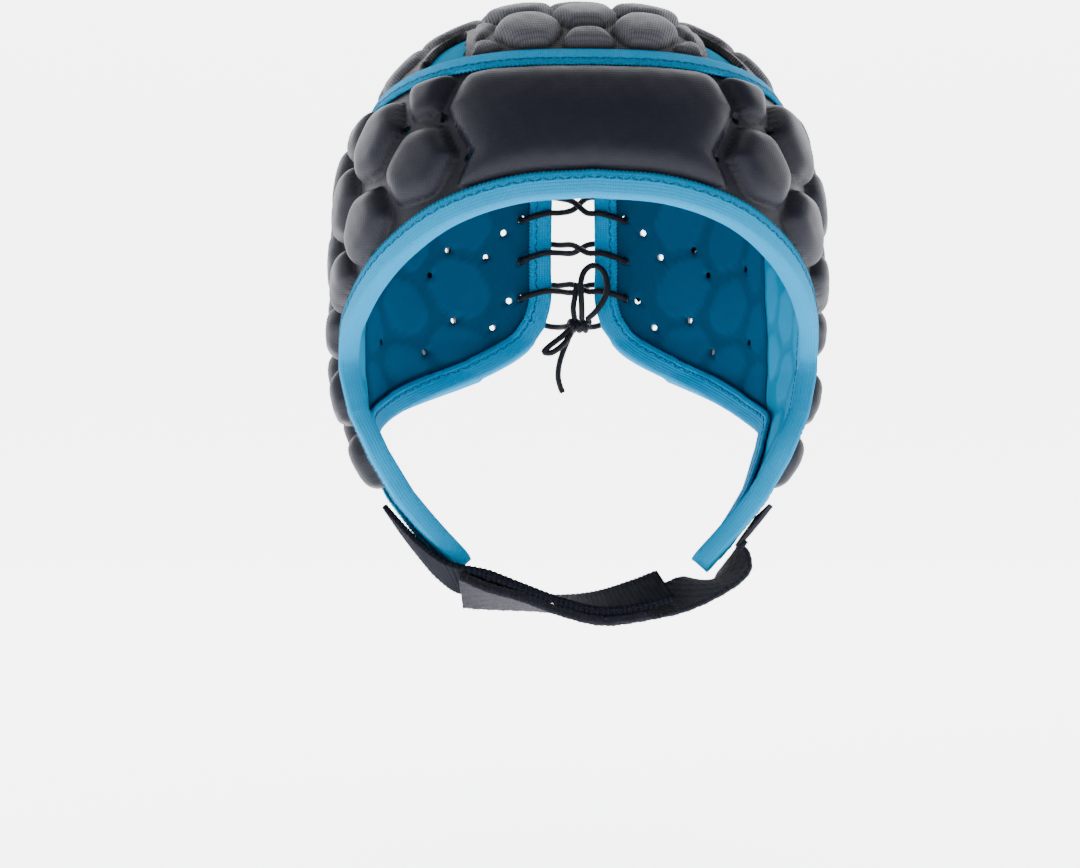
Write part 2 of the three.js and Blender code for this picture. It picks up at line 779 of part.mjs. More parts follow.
// Round cord along chosen points
function cord(points, radius, sides, steps) {
  const shape = new THREE.Shape(Array.from({ length: sides }, (_, k) => new THREE.Vector2(
    radius * Math.cos((2 * Math.PI * k) / sides),
    radius * Math.sin((2 * Math.PI * k) / sides),
  )));
  const extrudePath = new THREE.CatmullRomCurve3(points.map((p) => new THREE.Vector3(p.x, p.y, p.z)));
  const geometry = new THREE.ExtrudeGeometry(shape, { steps, bevelEnabled: false, extrudePath });
  return mergeVertices(geometry.deleteAttribute('normal').deleteAttribute('uv'), 1e-3);
}

// Edges as pattern points, the wearer's left side at +u
const curveCount = 240;
const seamCount = 5;
const rearCount = 5;
const faceCurve = edgeAt(faceEdge, evenShares(curveCount));
const topAngles = [0, 13, 26, 33, 40, 46.5, 53, 60, 67, 80, 94, 108, 121];
const backAngles = [121, 128, 140, 151, 161, 169, 180 - laceHalfGap];
const atAngles = (rows, angles) => angles.map((angle) => (
  [lengthAt(angle), -readTable(rows, 'angle', 'drop', angle) * capDepth]
));
const topLine = atAngles(topEdge, topAngles);
const backTopLine = atAngles(backTopEdge, backAngles);
// Rows and columns of the back panels, close together under the nape tape
const backAcross = [0, 0.12, 0.34, 0.56, 0.76, 0.925, 1];
const seamShares = [0, 0.23, 0.47, 0.7, 0.93, 1];
const laceShares = [0, 0.22, 0.44, 0.66, 0.88, 1];
const backUpwards = [0, 0.09, 0.32, 0.545, 0.775, 1];
const seamLine = edgeAt(seamEdge, seamShares);
const rearLine = edgeAt(flapRearEdge, evenShares(rearCount));
const napeLine = edgeAt(napeEdge, backAcross);
const laceLine = edgeAt(laceEdge, laceShares);
const outerLine = [...topLine, ...seamLine.slice(1), ...rearLine.slice(1)];

// Shares of a line's length at its points
function lengthShares(line) {
  const sums = [0];
  for (let i = 1; i < line.length; i += 1) {
    sums.push(sums[i - 1] + Math.hypot(line[i][0] - line[i - 1][0], line[i][1] - line[i - 1][1]));
  }
  return sums.map((sum) => sum / sums[sums.length - 1]);
}

const faceLine = lengthShares(outerLine).map((share) => (
  faceCurve[Math.round(readTable(ribPlaces, 'outer', 'face', share) * curveCount)]
));
const wholeLine = (line) => [...mirrored(line).reverse(), ...line.slice(1)];

// A point of a line of pattern points, moved off the line by a real distance
function offLine(line, i, distance) {
  const before = line[Math.max(i - 1, 0)];
  const after = line[Math.min(i + 1, line.length - 1)];
  return inwards(wallSurface, line[i], [after[0] - before[0], after[1] - before[1]], distance);
}

// Ribs of the band from its face edge to its outer edge; the end rows lie under the tapes
const bandShares = [0, 0.33, 0.67, 1];

function bandGrid() {
  const face = wholeLine(faceLine);
  const outer = wholeLine(outerLine);
  const rearFrom = outer.length - rearCount;
  return face.map((point, i) => {
    const atRear = i < rearCount || i >= rearFrom;
    const low = offLine(face, i, bindingWidth);
    const high = offLine(outer, i, -(atRear ? napeBindingWidth : bindingWidth));
    const between = bandShares.map((share) => [0, 1].map((axis) => low[axis] + (high[axis] - low[axis]) * share));
    return [point, ...between, outer[i]];
  });
}

// A point of an edge table at an angle, moved into the panel by a real distance
function insideEdge(rows, angle, distance) {
  const at = (a) => [Math.sign(a) * lengthAt(Math.abs(a)), -readTable(rows, 'angle', 'drop', Math.abs(a)) * capDepth];
  const before = at(angle - 1);
  const after = at(angle + 1);
  return inwards(wallSurface, at(angle), [after[0] - before[0], after[1] - before[1]], distance);
}

// The broad forehead pad, domed between its zigzag sides
const foreheadCorners = foreheadSide.map((row, i) => {
  if (i === 0) return insideEdge(topEdge, row.angle, -bindingWidth - padMargin);
  if (i === foreheadSide.length - 1) return insideEdge(faceEdge, row.angle, bindingWidth + padMargin);
  return [lengthAt(row.angle), -row.drop * capDepth];
}).reverse();

function foreheadPad() {
  const across = [0, 0.012, 0.045, 0.12, 0.2, 0.3, 0.4, 0.5, 0.6, 0.7, 0.8, 0.88, 0.955, 0.988, 1];
  const upwards = [0, 0.04, 0.14, 1 / 3, 0.5, 2 / 3, 0.86, 0.96, 1];
  const lowAngle = foreheadSide[foreheadSide.length - 1].angle;
  const highAngle = foreheadSide[0].angle;
  const bottom = across.map((s) => insideEdge(faceEdge, (2 * s - 1) * lowAngle || 0.01, bindingWidth + padMargin));
  const top = across.map((s) => insideEdge(topEdge, (2 * s - 1) * highAngle || 0.01, -bindingWidth - padMargin));
  const right = upwards.map((t) => {
    const place = Math.min(Math.floor(t * 3), 2);
    const share = t * 3 - place;
    const [from, to] = [foreheadCorners[place], foreheadCorners[place + 1]];
    return [from[0] + (to[0] - from[0]) * share, from[1] + (to[1] - from[1]) * share];
  });
  const grid = patch(bottom, top, mirrored(right), right);
  const rises = [0, 0.55, 0.92, 1];
  const height = (i, j) => {
    const deep = Math.min(i, j, across.length - 1 - i, upwards.length - 1 - j, 3);
    return deep === 0 ? padRoot + 0.4 : foamHigh + foreheadPadHeight * rises[deep];
  };
  const outer = grid.map((row, i) => row.map(([u, v], j) => lifted(wallSurface, u, v, height(i, j))));
  const inner = grid.map((row) => row.map(([u, v]) => lifted(wallSurface, u, v, padRoot)));
  return shell(outer, inner);
}

// Cells of one side of the band
function bandCells() {
  const above = ([, v]) => v > -lastPadDrop * capDepth;
  const outer = outerLine.filter(([u]) => u > foreheadCorners[3][0]).filter(above);
  const face = faceLine.filter(([u]) => u > foreheadCorners[0][0]).filter(above).reverse();
  const panel = [...foreheadCorners, ...outer, ...face];
  const limits = [
    { line: faceLine, clear: bindingWidth + padMargin },
    { line: topLine, clear: bindingWidth + padMargin },
    { line: seamLine, clear: seamMargin },
    { line: rearLine, clear: napeBindingWidth + padMargin },
    { line: foreheadCorners, clear: foreheadMargin },
  ];
  return sideCells(panel, limits, firstColumn, bandFirstDrop, 6);
}

// Cells of one back panel
function backCells() {
  const panel = [...seamLine, ...napeLine.slice(1), ...[...laceLine].reverse(), ...[...backTopLine].reverse()];
  const limits = [
    { line: seamLine, clear: seamMargin },
    { line: napeLine, clear: napeBindingWidth + padMargin },
    { line: laceLine, clear: laceHoleFromEdge + laceHoleRadius + padMargin },
    { line: backTopLine, clear: seamMargin },
  ];
  return sideCells(panel, limits, lengthAt(backMiddleAngle) - 2 * columnPitch, backFirstDrop, 4);
}

const mirroredCell = (cell) => ({
  heart: [-cell.heart[0], cell.heart[1]],
  outline: mirrored(cell.outline).reverse(),
  room: cell.room,
});

const ventAt = (row, side) => (
  roundHole(wallSurface, side * lengthAt(row.angle), -row.drop * capDepth, ventRadius, 5)
);

function frontBand() {
  const sheet = layer(wallSurface, bandGrid(), foamLow, foamHigh);
  const cells = bandCells();
  const pads = [...cells, ...cells.map(mirroredCell)].map((cell) => pad(wallSurface, cell, padHeight));
  const vents = browVents.flatMap((row) => [ventAt(row, 1), ventAt(row, -1)]);
  return cutBy(joined(sheet, [foreheadPad(), ...pads]), vents);
}

function bandLining() {
  const sheet = layer(wallSurface, bandGrid(), 0, liningThick);
  return cutBy(sheet, browVents.flatMap((row) => [ventAt(row, 1), ventAt(row, -1)]));
}

// The back panels start just past the seam of the band
const backSeam = seamLine.map(([u, v]) => [u + seamGap, v]).reverse();
const backNape = [backSeam[0], ...napeLine.slice(1)];
const backTop = [backSeam[seamCount], ...backTopLine.slice(1)];
const laceUp = [...laceLine].reverse();
// The second row and the last column but one run along the inner edge of the nape tape
const napeAndLace = [...napeLine, ...laceUp.slice(1)];
const besideLace = backAcross.length - 2;
const backGrid = patch(backNape, backTop, backSeam, laceUp, backAcross, backUpwards).map((column, i) => (
  column.map((point, j) => {
    if (j === 1 && i > 0 && i < besideLace) return offLine(napeAndLace, i, napeBindingWidth);
    if (i !== besideLace || j === 0 || j === laceUp.length - 1) return point;
    return offLine(napeAndLace, j === 1 ? besideLace + 1 : besideLace + 1 + j, napeBindingWidth);
  })
));
const sided = (grid, side) => (side > 0 ? grid : grid.map(mirrored));

// A point beside the lacing edge: distance into the panel, drop and height
function lacePoint(side, fromEdge, drop, lift) {
  const edge = lengthAt(180 - laceHalfGap);
  const scale = patternScale(wallSurface, side * edge, -drop * capDepth);
  const u = Math.min(edge - fromEdge / scale.wide, lengthAt(180));
  return lifted(wallSurface, side * u, -drop * capDepth, lift);
}

function laceHoles(side) {
  const edge = lengthAt(180 - laceHalfGap);
  return laceRows.map((row) => {
    const scale = patternScale(wallSurface, side * edge, -row.hole * capDepth);
    const u = side * (edge - laceHoleFromEdge / scale.wide);
    return roundHole(wallSurface, u, -row.hole * capDepth, laceHoleRadius, 6);
  });
}

function backPanel(side) {
  const sheet = layer(wallSurface, sided(backGrid, side), foamLow, foamHigh);
  const cells = backCells().map((cell) => (side > 0 ? cell : mirroredCell(cell)));
  const pads = cells.map((cell) => pad(wallSurface, cell, padHeight));
  return cutBy(joined(sheet, pads), [...backVents.map((row) => ventAt(row, side)), ...laceHoles(side)]);
}

function backLining(side) {
  const sheet = layer(wallSurface, sided(backGrid, side), 0, liningThick);
  return cutBy(sheet, [...backVents.map((row) => ventAt(row, side)), ...laceHoles(side)]);
}

// The crown's edge: past the tape of the band, and close to the back panels behind it
function crownEdgePoint(rows, angle, past) {
  const [u, v] = insideEdge(rows, angle, past);
  return crownPattern(wallSurface(u, v));
}

const tapedEdge = bindingGap + bindingThick + seamGap;
const frontAngles = [-40, -33, -26, -13, 0.01, 13, 26, 33, 40];
const crownAcross = [0, 0.07, 0.17, 0.33, 0.5, 0.67, 0.83, 0.93, 1];
const sideAngles = [40, 46.5, 53, 60, 67, 80, 94, 108, 121];
const rearAngles = [129, 140, 157, 180 - laceHalfGap];

function crownGrid() {
  const fromTop = (angle) => crownEdgePoint(topEdge, angle, tapedEdge);
  const fromBack = (angle) => crownEdgePoint(backTopEdge, angle, crownSeamGap);
  const front = frontAngles.map(fromTop);
  const right = [...sideAngles.map(fromTop), fromBack(rearAngles[0])];
  const left = [...sideAngles.map((angle) => fromTop(-angle)), fromBack(-rearAngles[0])];
  const rightBack = rearAngles.map(fromBack);
  const leftBack = rearAngles.map((angle) => fromBack(-angle));
  const middle = [0, 1].map((axis) => (rightBack[3][axis] + leftBack[3][axis]) / 2);
  const back = [...leftBack, middle, ...rightBack.reverse()];
  return patch(front, back, left, right, crownAcross);
}

const slotPoints = slotOutline.map((row) => [crownRadius * radians(row.side), crownRadius * radians(row.back)]);

function crownCells(grid) {
  const front = grid.map((row) => row[0]);
  const rear = grid.map((row) => row[row.length - 1]).reverse();
  const right = grid[grid.length - 1].slice(1, -1);
  const left = grid[0].slice(1, -1).reverse();
  const panel = [...front, ...right, ...rear, ...left];
  const slots = [slotPoints, mirrored(slotPoints)].map((line) => ({ line: [...line, line[0]], clear: slotMargin }));
  const limits = [{ line: [...panel, panel[0]], clear: crownRimMargin }, ...slots];
  const found = [];
  for (let column = -3; column <= 3; column += 1) {
    const offset = column % 2 ? crownCellPitch / 2 : 0;
    for (let row = -4; row <= 6; row += 1) {
      const back = radians(crownFirstRow) * crownRadius + offset + row * crownCellPitch;
      const middle = [column * crownColumnPitch, back];
      const inSlot = [slotPoints, mirrored(slotPoints)].some((line) => inside(middle, line));
      const corners = cellCorners(middle, crownColumnPitch, crownCellPitch, 0);
      const cell = inSlot ? null : cellOutline(crownSurface, corners, panel, limits, smallestCrownRoom);
      if (cell) found.push({ ...cell, arm: Math.abs(column) > 1 });
    }
  }
  return found;
}

function crownPanel() {
  const grid = crownGrid();
  const pads = crownCells(grid).map((cell) => pad(crownSurface, cell, cell.arm ? armPadHeight : crownPadHeight));
  const slots = [slotPoints, mirrored(slotPoints)].map((line) => (
    cutter(crownSurface, line, foamLow - cutBelow, foamHigh + slotCutAbove)
  ));
  return cutBy(joined(layer(crownSurface, grid, foamLow, foamHigh), pads), slots);
}

// One lace, from the knot up through every hole to the top bar and down again
function lacePath() {
  const low = bindingLow - laceGap - laceRadius;
  const high = bindingHigh + laceGap + laceRadius;
  const edgeOut = bindingLow - 2.5 * laceGap - laceRadius;
  const half = (first) => {
    const points = [];
    let side = first;
    laceRows.forEach((row, i) => {
      points.push(lacePoint(side, laceHoleFromEdge - laceTurn, row.into * 0.3 + row.hole * 0.7, low));
      points.push(lacePoint(side, laceHoleFromEdge, row.hole, low + laceRadius));
      points.push(lacePoint(side, laceHoleFromEdge, row.hole, high - laceRadius));
      points.push(lacePoint(side, laceHoleFromEdge - laceTurn, row.hole * 0.75 + row.over * 0.25, high + laceRest));
      points.push(lacePoint(side, laceEdgeRest, row.over * 0.9 + row.hole * 0.1, high + laceRest));
      points.push(lacePoint(side, edgeOut, row.over, high - laceEdgeRest));
      if (i + 1 < laceRows.length) {
        const next = laceRows[i + 1];
        const middle = (row.over + next.into) / 2 + side * laceCrossing / capDepth;
        points.push(lacePoint(side, -laceBar, middle, (low + high) / 2));
        side = -side;
        points.push(lacePoint(side, edgeOut, next.into, low + laceEdgeRest));
        points.push(lacePoint(side, laceEdgeRest, next.into, low - laceRest));
      }
    });
    const knot = new THREE.Vector3(knotMiddle.x, knotMiddle.y, knotMiddle.z);
    points.push(knot.add(new THREE.Vector3(side * knotSize.x * 0.7, knotSize.y + tiedGap / 2, 0)));
    return points;
  };
  const top = lacePoint(1, -laceBar, laceRows[0].hole, low);
  return [...half(1).reverse(), top, ...half(-1)];
}

function laceKnot() {
  const ball = new THREE.SphereGeometry(1, 10, 7);
  ball.scale(knotSize.x, knotSize.y, knotSize.z);
  ball.translate(knotMiddle.x, knotMiddle.y, knotMiddle.z);
  const ends = [cord(shortEndUp, laceRadius, 6, 6), cord(shortLoopDown, laceRadius, 6, 14)];
  return joined(mergeVertices(ball.deleteAttribute('normal').deleteAttribute('uv'), 1e-3), ends);
}

// Cloth and cord finishes
const finish = (color, roughness) => new THREE.MeshStandardMaterial({ color, roughness, metalness: 0 });
const knitBlack = finish('#24262c', 0.75);
const meshGrey = finish('#4a4b4d', 0.8);
const liningBlue = finish('#0a7fb0', 0.6);
const tapeBlue = finish('#10a9e2', 0.55);
const laceBlack = finish('#1d1e22', 0.7);
const strapBlack = finish('#26282e', 0.85);
const tabGrey = finish('#6f6c70', 0.8);

const part = new THREE.Group();

function addPiece(name, geometry, material) {
  const mesh = new THREE.Mesh(geometry, material);
  mesh.name = name;
  part.add(mesh);
}

const napeEdgeLine = [...[...rearLine].reverse(), ...napeLine.slice(1), ...[...laceLine].reverse().slice(1)];

addPiece('front_band', frontBand(), knitBlack);
addPiece('crown_panel', crownPanel(), meshGrey);
addPiece('back_panel_left', backPanel(-1), knitBlack);
addPiece('back_panel_right', backPanel(1), knitBlack);
addPiece('band_lining', bandLining(), liningBlue);
addPiece('crown_lining', layer(crownSurface, crownGrid(), 0, liningThick), liningBlue);
addPiece('back_lining_left', backLining(-1), liningBlue);
addPiece('back_lining_right', backLining(1), liningBlue);
addPiece('face_binding', binding(wholeLine(faceLine), bindingWidth, 1), tapeBlue);
addPiece('top_binding', binding(wholeLine(topLine), bindingWidth, -1), tapeBlue);
addPiece('nape_binding_left', binding(mirrored(napeEdgeLine), napeBindingWidth, -1), tapeBlue);
addPiece('nape_binding_right', binding(napeEdgeLine, napeBindingWidth, 1), tapeBlue);
addPiece('lace', cord(lacePath(), laceRadius, 6, 140), laceBlack);
addPiece('lace_knot', laceKnot(), laceBlack);
addPiece('lace_bow', cord(laceBowPath, laceRadius, 8, 16), laceBlack);
addPiece('lace_tail', cord(laceTailPath, laceRadius, 8, 10), laceBlack);
addPiece('chin_strap_left', webbing(innerStrapPath, -1, strapWidth, strapThick, strapGap, 20), strapBlack);
addPiece('chin_strap_right', webbing(outerStrapPath, 1, strapWidth, strapThick, strapGap, 20), strapBlack);
addPiece('strap_tab', webbing(strapTabPath, 1, tabWidth, tabThick, tabGap, 4), tabGrey);

export default part;
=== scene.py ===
"""Rugby scrum cap: foam cells under dark knit, blue lining and tape, a laced back and a chin strap."""
import math

import bpy
import numpy as np
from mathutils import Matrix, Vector


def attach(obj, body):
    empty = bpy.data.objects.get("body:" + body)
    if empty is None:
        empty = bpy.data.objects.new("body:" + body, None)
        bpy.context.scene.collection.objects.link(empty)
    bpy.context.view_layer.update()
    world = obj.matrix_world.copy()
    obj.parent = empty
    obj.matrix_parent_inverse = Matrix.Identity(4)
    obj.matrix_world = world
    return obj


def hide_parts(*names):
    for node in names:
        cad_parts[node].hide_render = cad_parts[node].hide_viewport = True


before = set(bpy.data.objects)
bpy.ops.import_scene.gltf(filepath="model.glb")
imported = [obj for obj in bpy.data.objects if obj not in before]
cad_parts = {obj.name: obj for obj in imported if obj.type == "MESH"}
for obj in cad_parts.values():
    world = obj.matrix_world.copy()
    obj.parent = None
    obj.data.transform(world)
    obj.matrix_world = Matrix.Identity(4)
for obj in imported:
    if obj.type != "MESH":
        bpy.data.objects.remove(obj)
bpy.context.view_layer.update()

bl_info = {
    "name": "Scrum cap",
    "version": (1, 0, 0),
    "blender": (4, 5, 0),
    "location": "View3D > Sidebar > Scrum cap",
    "description": "Builds a padded rugby scrum cap over its packed solids",
    "category": "Object",
}

MM = 0.001

# Sizes of the head and of the cap's layers, in millimetres, as in the solids
HEAD_HALF_WIDTH = 81.5
HEAD_FRONT = 95.0
HEAD_BACK = 100.0
SQUARENESS = 2.7
CROWN_TO_WIDEST = 95.0
WIDEST_TO_CHIN = 120.0
CAP_DEPTH = 200.0
LINING_THICK = 1.2
LAYER_GAP = 0.4
FOAM_LOW = LINING_THICK + LAYER_GAP
FOAM_HIGH = FOAM_LOW + 2.5
TAPE_THICK = 1.2
TAPE_GAP = 0.35
TAPE_LOW = -TAPE_GAP - TAPE_THICK
TAPE_HIGH = FOAM_HIGH + TAPE_GAP + TAPE_THICK
TAPE_WIDTH = 6.5
NAPE_TAPE_WIDTH = 7.5
SEAM_GAP = 0.5
CELL_PITCH = 28.5
COLUMN_PITCH = 26.0
FIRST_COLUMN = 60.0
COLUMN_DROP = 4.7
CROWN_CELL_PITCH = 26.5
CROWN_COLUMN_PITCH = 24.6
CROWN_RADIUS = 105.0
CHEEK_DROP = 0.5
CHEEK_SHRINK = 0.79
LAST_PAD_DROP = 0.845
PAD_MARGIN = 1.2
VENT_RADIUS = 1.4
LACE_HOLE_RADIUS = 1.7
LACE_HOLE_FROM_EDGE = 10.9
LACE_RADIUS = 1.25
LACE_GAP = 0.6
LACE_SHIFT = 3.3
LACE_HALF_GAP = 6.0
STRAP_WIDTH = 25.0
STRAP_THICK = 2.2
STRAP_GAP = 1.3
TAB_WIDTH = 20.0
TAB_THICK = 2.0
TAB_GAP = 0.35
STRAP_LIFT = 0.45
BAND_FIRST_DROP = 0.29
BACK_FIRST_DROP = 0.398
BACK_MIDDLE_ANGLE = 153
CROWN_FIRST_ROW = -43
SEAM_ANGLE = 121
LACING_ANGLE = 174
SEAM_MARGIN = 3.0
SLOT_MARGIN = 3.0
CROWN_RIM_MARGIN = 1.6
FOREHEAD_MARGIN = 3.6
LACE_HOLE_MARGIN = 2.0
LEAST_ROOM = 4.2
LEAST_CROWN_ROOM = 2.2
FULL_ROOM = 9.0
CELL_REACH = 24.0

# How the cloths are drawn over the solids, in millimetres
SHOULDER = 6.0
CROWN_SHOULDER = 4.2
CROWN_GROOVE_SHARE = 0.6
FOREHEAD_SHOULDER = 8.0
FOREHEAD_DOME = 16.0
CROWN_LAP = 0.2
CROWN_CORNER_ANGLE = 40
CROWN_REAR_ANGLE = 129
RIM_DEPTH = 2.4
LINING_WALL = 0.8
IMPRINT = 0.45
PANEL_PUCKERS = 0.05
LINING_PUCKERS = 0.04
TAPE_BEYOND = 4.5
TAPE_TOOTH = 0.45
TAPE_FOLD = 1.6
STITCH_AT = 0.66
STITCH_ZIGZAG = 0.45
FLATLOCK_PITCH = 0.9
FLATLOCK_ZIGZAG = 1.3
HAIR_RADIUS = 0.13

# Tables of the solids: jaw sections as (down, wide, front, back), then edges as (angle, drop)
JAW = np.array([
    (0, 1, 1, 1), (0.125, 1.012, 0.99, 0.99), (0.25, 1.012, 0.968, 0.95), (0.375, 0.976, 0.926, 0.88),
    (0.5, 0.902, 0.874, 0.8), (0.625, 0.798, 0.8, 0.7), (0.75, 0.656, 0.695, 0.58),
    (0.875, 0.509, 0.579, 0.46), (1, 0.356, 0.463, 0.34)])
FACE_EDGE = [(0, 0.3375), (15, 0.3475), (28, 0.38), (40, 0.435), (50, 0.485), (60, 0.535), (68, 0.5675),
             (73.5, 0.61), (70, 0.68), (64, 0.755), (60.5, 0.825), (56, 0.89), (48, 0.955)]
TOP_EDGE = [(0, 0.1025), (20, 0.104), (40, 0.118), (60, 0.147), (90, 0.175), (121, 0.19)]
SEAM_EDGE = [(121, 0.19), (121.5, 0.33), (121, 0.5), (119, 0.65), (112, 0.74)]
FLAP_REAR_EDGE = [(112, 0.74), (108, 0.785), (99, 0.835), (89, 0.88), (78, 0.925), (67, 0.955)]
NAPE_EDGE = [(112, 0.74), (127, 0.71), (144.5, 0.662), (160, 0.61), (168.5, 0.565), (172.5, 0.52)]
BACK_TOP_EDGE = [(121, 0.19), (146, 0.2), (174, 0.2075)]
LACE_EDGE = [(174, 0.2075), (174, 0.4), (174, 0.47), (172.5, 0.52)]
RIB_PLACES = [(0, 0), (0.28, 0.47), (0.64, 0.62), (0.78, 0.76), (1, 1)]
FOREHEAD_SIDE = [(30, 0.14), (31, 0.2), (24.5, 0.275), (26.5, 0.335)]
SLOT = [(30.5, -42), (37.5, -35.5), (33.5, -27), (27.5, -20.5), (25, -21), (26, -31)]
BACK_VENTS = [(163.5, 0.33), (159.5, 0.38), (150.5, 0.368), (146, 0.42), (131.5, 0.413), (165, 0.468),
              (161, 0.523), (152, 0.51), (144.5, 0.576), (130, 0.56)]
BROW_VENTS = [(25, 0.28), (32, 0.213), (41.5, 0.225)]
# Rows of the lacing: hole, into, over
LACE_ROWS = [(0.237, 0.237, 0.264), (0.3025, 0.286, 0.354), (0.3865, 0.369, 0.435), (0.463, 0.449, 0.519)]
# Strap rows: ("on", angle, drop) on a flap, or ("free", side, front, drop, tilt)
INNER_STRAP = [("on", 74, 0.872), ("on", 70, 0.895), ("on", 66, 0.918), ("on", 60, 0.944),
               ("free", -0.562, 0.392, 1, -31), ("free", -0.417, 0.416, 1.009, -20),
               ("free", -0.27, 0.432, 1.025, -12), ("free", -0.098, 0.437, 1.04, -1),
               ("free", 0.074, 0.437, 1.045, 10), ("free", 0.245, 0.432, 1.0315, 16),
               ("free", 0.368, 0.426, 1.016, 19)]
OUTER_STRAP = [("free", -0.528, 0.395, 1.022, -29), ("free", -0.417, 0.416, 1.033, -20),
               ("free", -0.27, 0.432, 1.043, -12), ("free", -0.098, 0.437, 1.058, -1),
               ("free", 0.074, 0.437, 1.063, 10), ("free", 0.245, 0.432, 1.05, 16),
               ("free", 0.368, 0.426, 1.041, 19), ("free", 0.509, 0.41, 1.02, 14),
               ("free", 0.645, 0.345, 1.003, -14), ("on", 62.5, 0.943), ("on", 65, 0.922)]
STRAP_TAB = [("on", 67, 0.912), ("on", 70, 0.89), ("on", 73, 0.862)]

# The tied end of the lace, in metres
KNOT_MIDDLE = (0.0082, 0.098, -0.104)
KNOT_SIZE = (0.006, 0.0031, 0.0031)
SHORT_END_UP = [(0.0064, 0.097, -0.102), (0.0056, 0.0956, -0.097), (0.0064, 0.0948, -0.091),
                (0.0069, 0.0944, -0.0864)]
SHORT_LOOP_DOWN = [(0.0046, 0.0976, -0.105), (0.001, 0.097, -0.1084), (-0.0044, 0.0964, -0.1126),
                   (-0.0064, 0.0964, -0.1148), (-0.0036, 0.0964, -0.1152), (0.0016, 0.097, -0.1116),
                   (0.005, 0.0976, -0.107)]
LACE_BOW = [(0.0112, 0.0957, -0.1016), (0.0152, 0.093, -0.0976), (0.0186, 0.0916, -0.0918),
            (0.019, 0.091, -0.0856), (0.0166, 0.0908, -0.0808), (0.013, 0.0908, -0.0796),
            (0.0098, 0.091, -0.082), (0.0084, 0.091, -0.0866), (0.0086, 0.0916, -0.092),
            (0.0089, 0.0928, -0.097), (0.0091, 0.0954, -0.1015)]
LACE_TAIL = [(0.0086, 0.1027, -0.1038), (0.0054, 0.103, -0.1064), (0.0034, 0.1016, -0.1106),
             (0.0014, 0.1004, -0.1154), (0, 0.0998, -0.1202), (-0.0004, 0.0996, -0.1252),
             (0.0006, 0.0996, -0.1294), (0.0016, 0.0996, -0.1316)]

# The photograph's frame and the camera's place, in metres
EYE = (-0.0628, -0.948, -0.1486)
CAMERA_TURN = -3.0
LENS = 84.7

# The stage in metres: floor, rear wall, cove, and lights as name, place, size and watts
FLOOR_SIZE = (60, 33, 1)
FLOOR_MIDDLE = (0, -13.8, -0.29)
WALL_HEIGHT = 6
COVE_WIDTH = 1.2
PAPER_GLOW = 4.2
LIGHTS = [("key", (-1.3, -0.6, 0.8), 1.0, 15), ("fill", (1.4, -0.5, 0.4), 1.0, 8),
          ("top", (0.1, 0.2, 1.4), 1.2, 10), ("low", (0.0, -1.2, -0.2), 0.8, 2)]
LIGHT_AIM = (0, 0, -0.1)


def linear(code):
    """sRGB hex to linear red, green and blue."""
    values = [int(code[i:i + 2], 16) / 255 for i in (1, 3, 5)]
    return tuple(v / 12.92 if v <= 0.04045 else ((v + 0.055) / 1.055) ** 2.4 for v in values)


class ScrumCapSizes(bpy.types.PropertyGroup):
    """Sizes of the cap that a user may change."""
    pad_height: bpy.props.FloatProperty(
        name="Pad height", description="Rise of the side and back pads above their grooves",
        default=6.6 * MM, unit="LENGTH")
    crown_pad_height: bpy.props.FloatProperty(
        name="Crown pad height", description="Rise of the pads of the crown", default=5.6 * MM, unit="LENGTH")
    arm_pad_height: bpy.props.FloatProperty(
        name="Arm pad height", description="Rise of the low pads beside the crown's slots",
        default=3.4 * MM, unit="LENGTH")
    forehead_pad_height: bpy.props.FloatProperty(
        name="Forehead pad height", description="Rise of the broad pad of the forehead",
        default=5.6 * MM, unit="LENGTH")
    groove_width: bpy.props.FloatProperty(
        name="Groove width", description="Width of the sewn grooves between the pads",
        default=4.2 * MM, unit="LENGTH")
    picot_pitch: bpy.props.FloatProperty(
        name="Tape tooth pitch", description="Spacing of the small teeth along the tape's edges",
        default=1.4 * MM, unit="LENGTH")
    stitch_pitch: bpy.props.FloatProperty(
        name="Stitch pitch", description="Spacing of the stitches along the tapes",
        default=2.4 * MM, unit="LENGTH")
    rib_pitch: bpy.props.FloatProperty(
        name="Strap rib pitch", description="Spacing of the ribs across the elastic strap",
        default=1.8 * MM, unit="LENGTH")
    hair_count: bpy.props.IntProperty(
        name="Frayed hairs", description="Loose fibres along the edges of the strap's pile",
        default=1500, min=0)


class ScrumCapColours(bpy.types.PropertyGroup):
    """Colours of the cap's cloths."""
    knit: bpy.props.FloatVectorProperty(
        name="Knit", description="Stretch knit over the pads", subtype="COLOR", default=linear("#0b0d15"))
    mesh: bpy.props.FloatVectorProperty(
        name="Air mesh", description="Ribbed mesh of the crown", subtype="COLOR", default=linear("#323337"))
    lining: bpy.props.FloatVectorProperty(
        name="Lining", description="Brushed lining of the band", subtype="COLOR", default=linear("#006a8c"))
    # Darker than the band's lining: painted shade for the inside of the back
    back_lining: bpy.props.FloatVectorProperty(
        name="Back lining", description="Brushed lining of the back", subtype="COLOR",
        default=linear("#003a56"))
    tape: bpy.props.FloatVectorProperty(
        name="Tape", description="Woven edge tape", subtype="COLOR", default=linear("#006f96"))
    thread: bpy.props.FloatVectorProperty(
        name="Thread", description="Sewing thread of the tapes", subtype="COLOR", default=linear("#003a5c"))
    lace: bpy.props.FloatVectorProperty(
        name="Lace", description="Elastic lace", subtype="COLOR", default=linear("#0e0f13"))
    strap: bpy.props.FloatVectorProperty(
        name="Strap", description="Elastic webbing and its pile", subtype="COLOR", default=linear("#0e1017"))
    tab: bpy.props.FloatVectorProperty(
        name="Tab", description="Grey webbing tab", subtype="COLOR", default=linear("#2e2d31"))


# Pattern of the head, for whole arrays of points at once

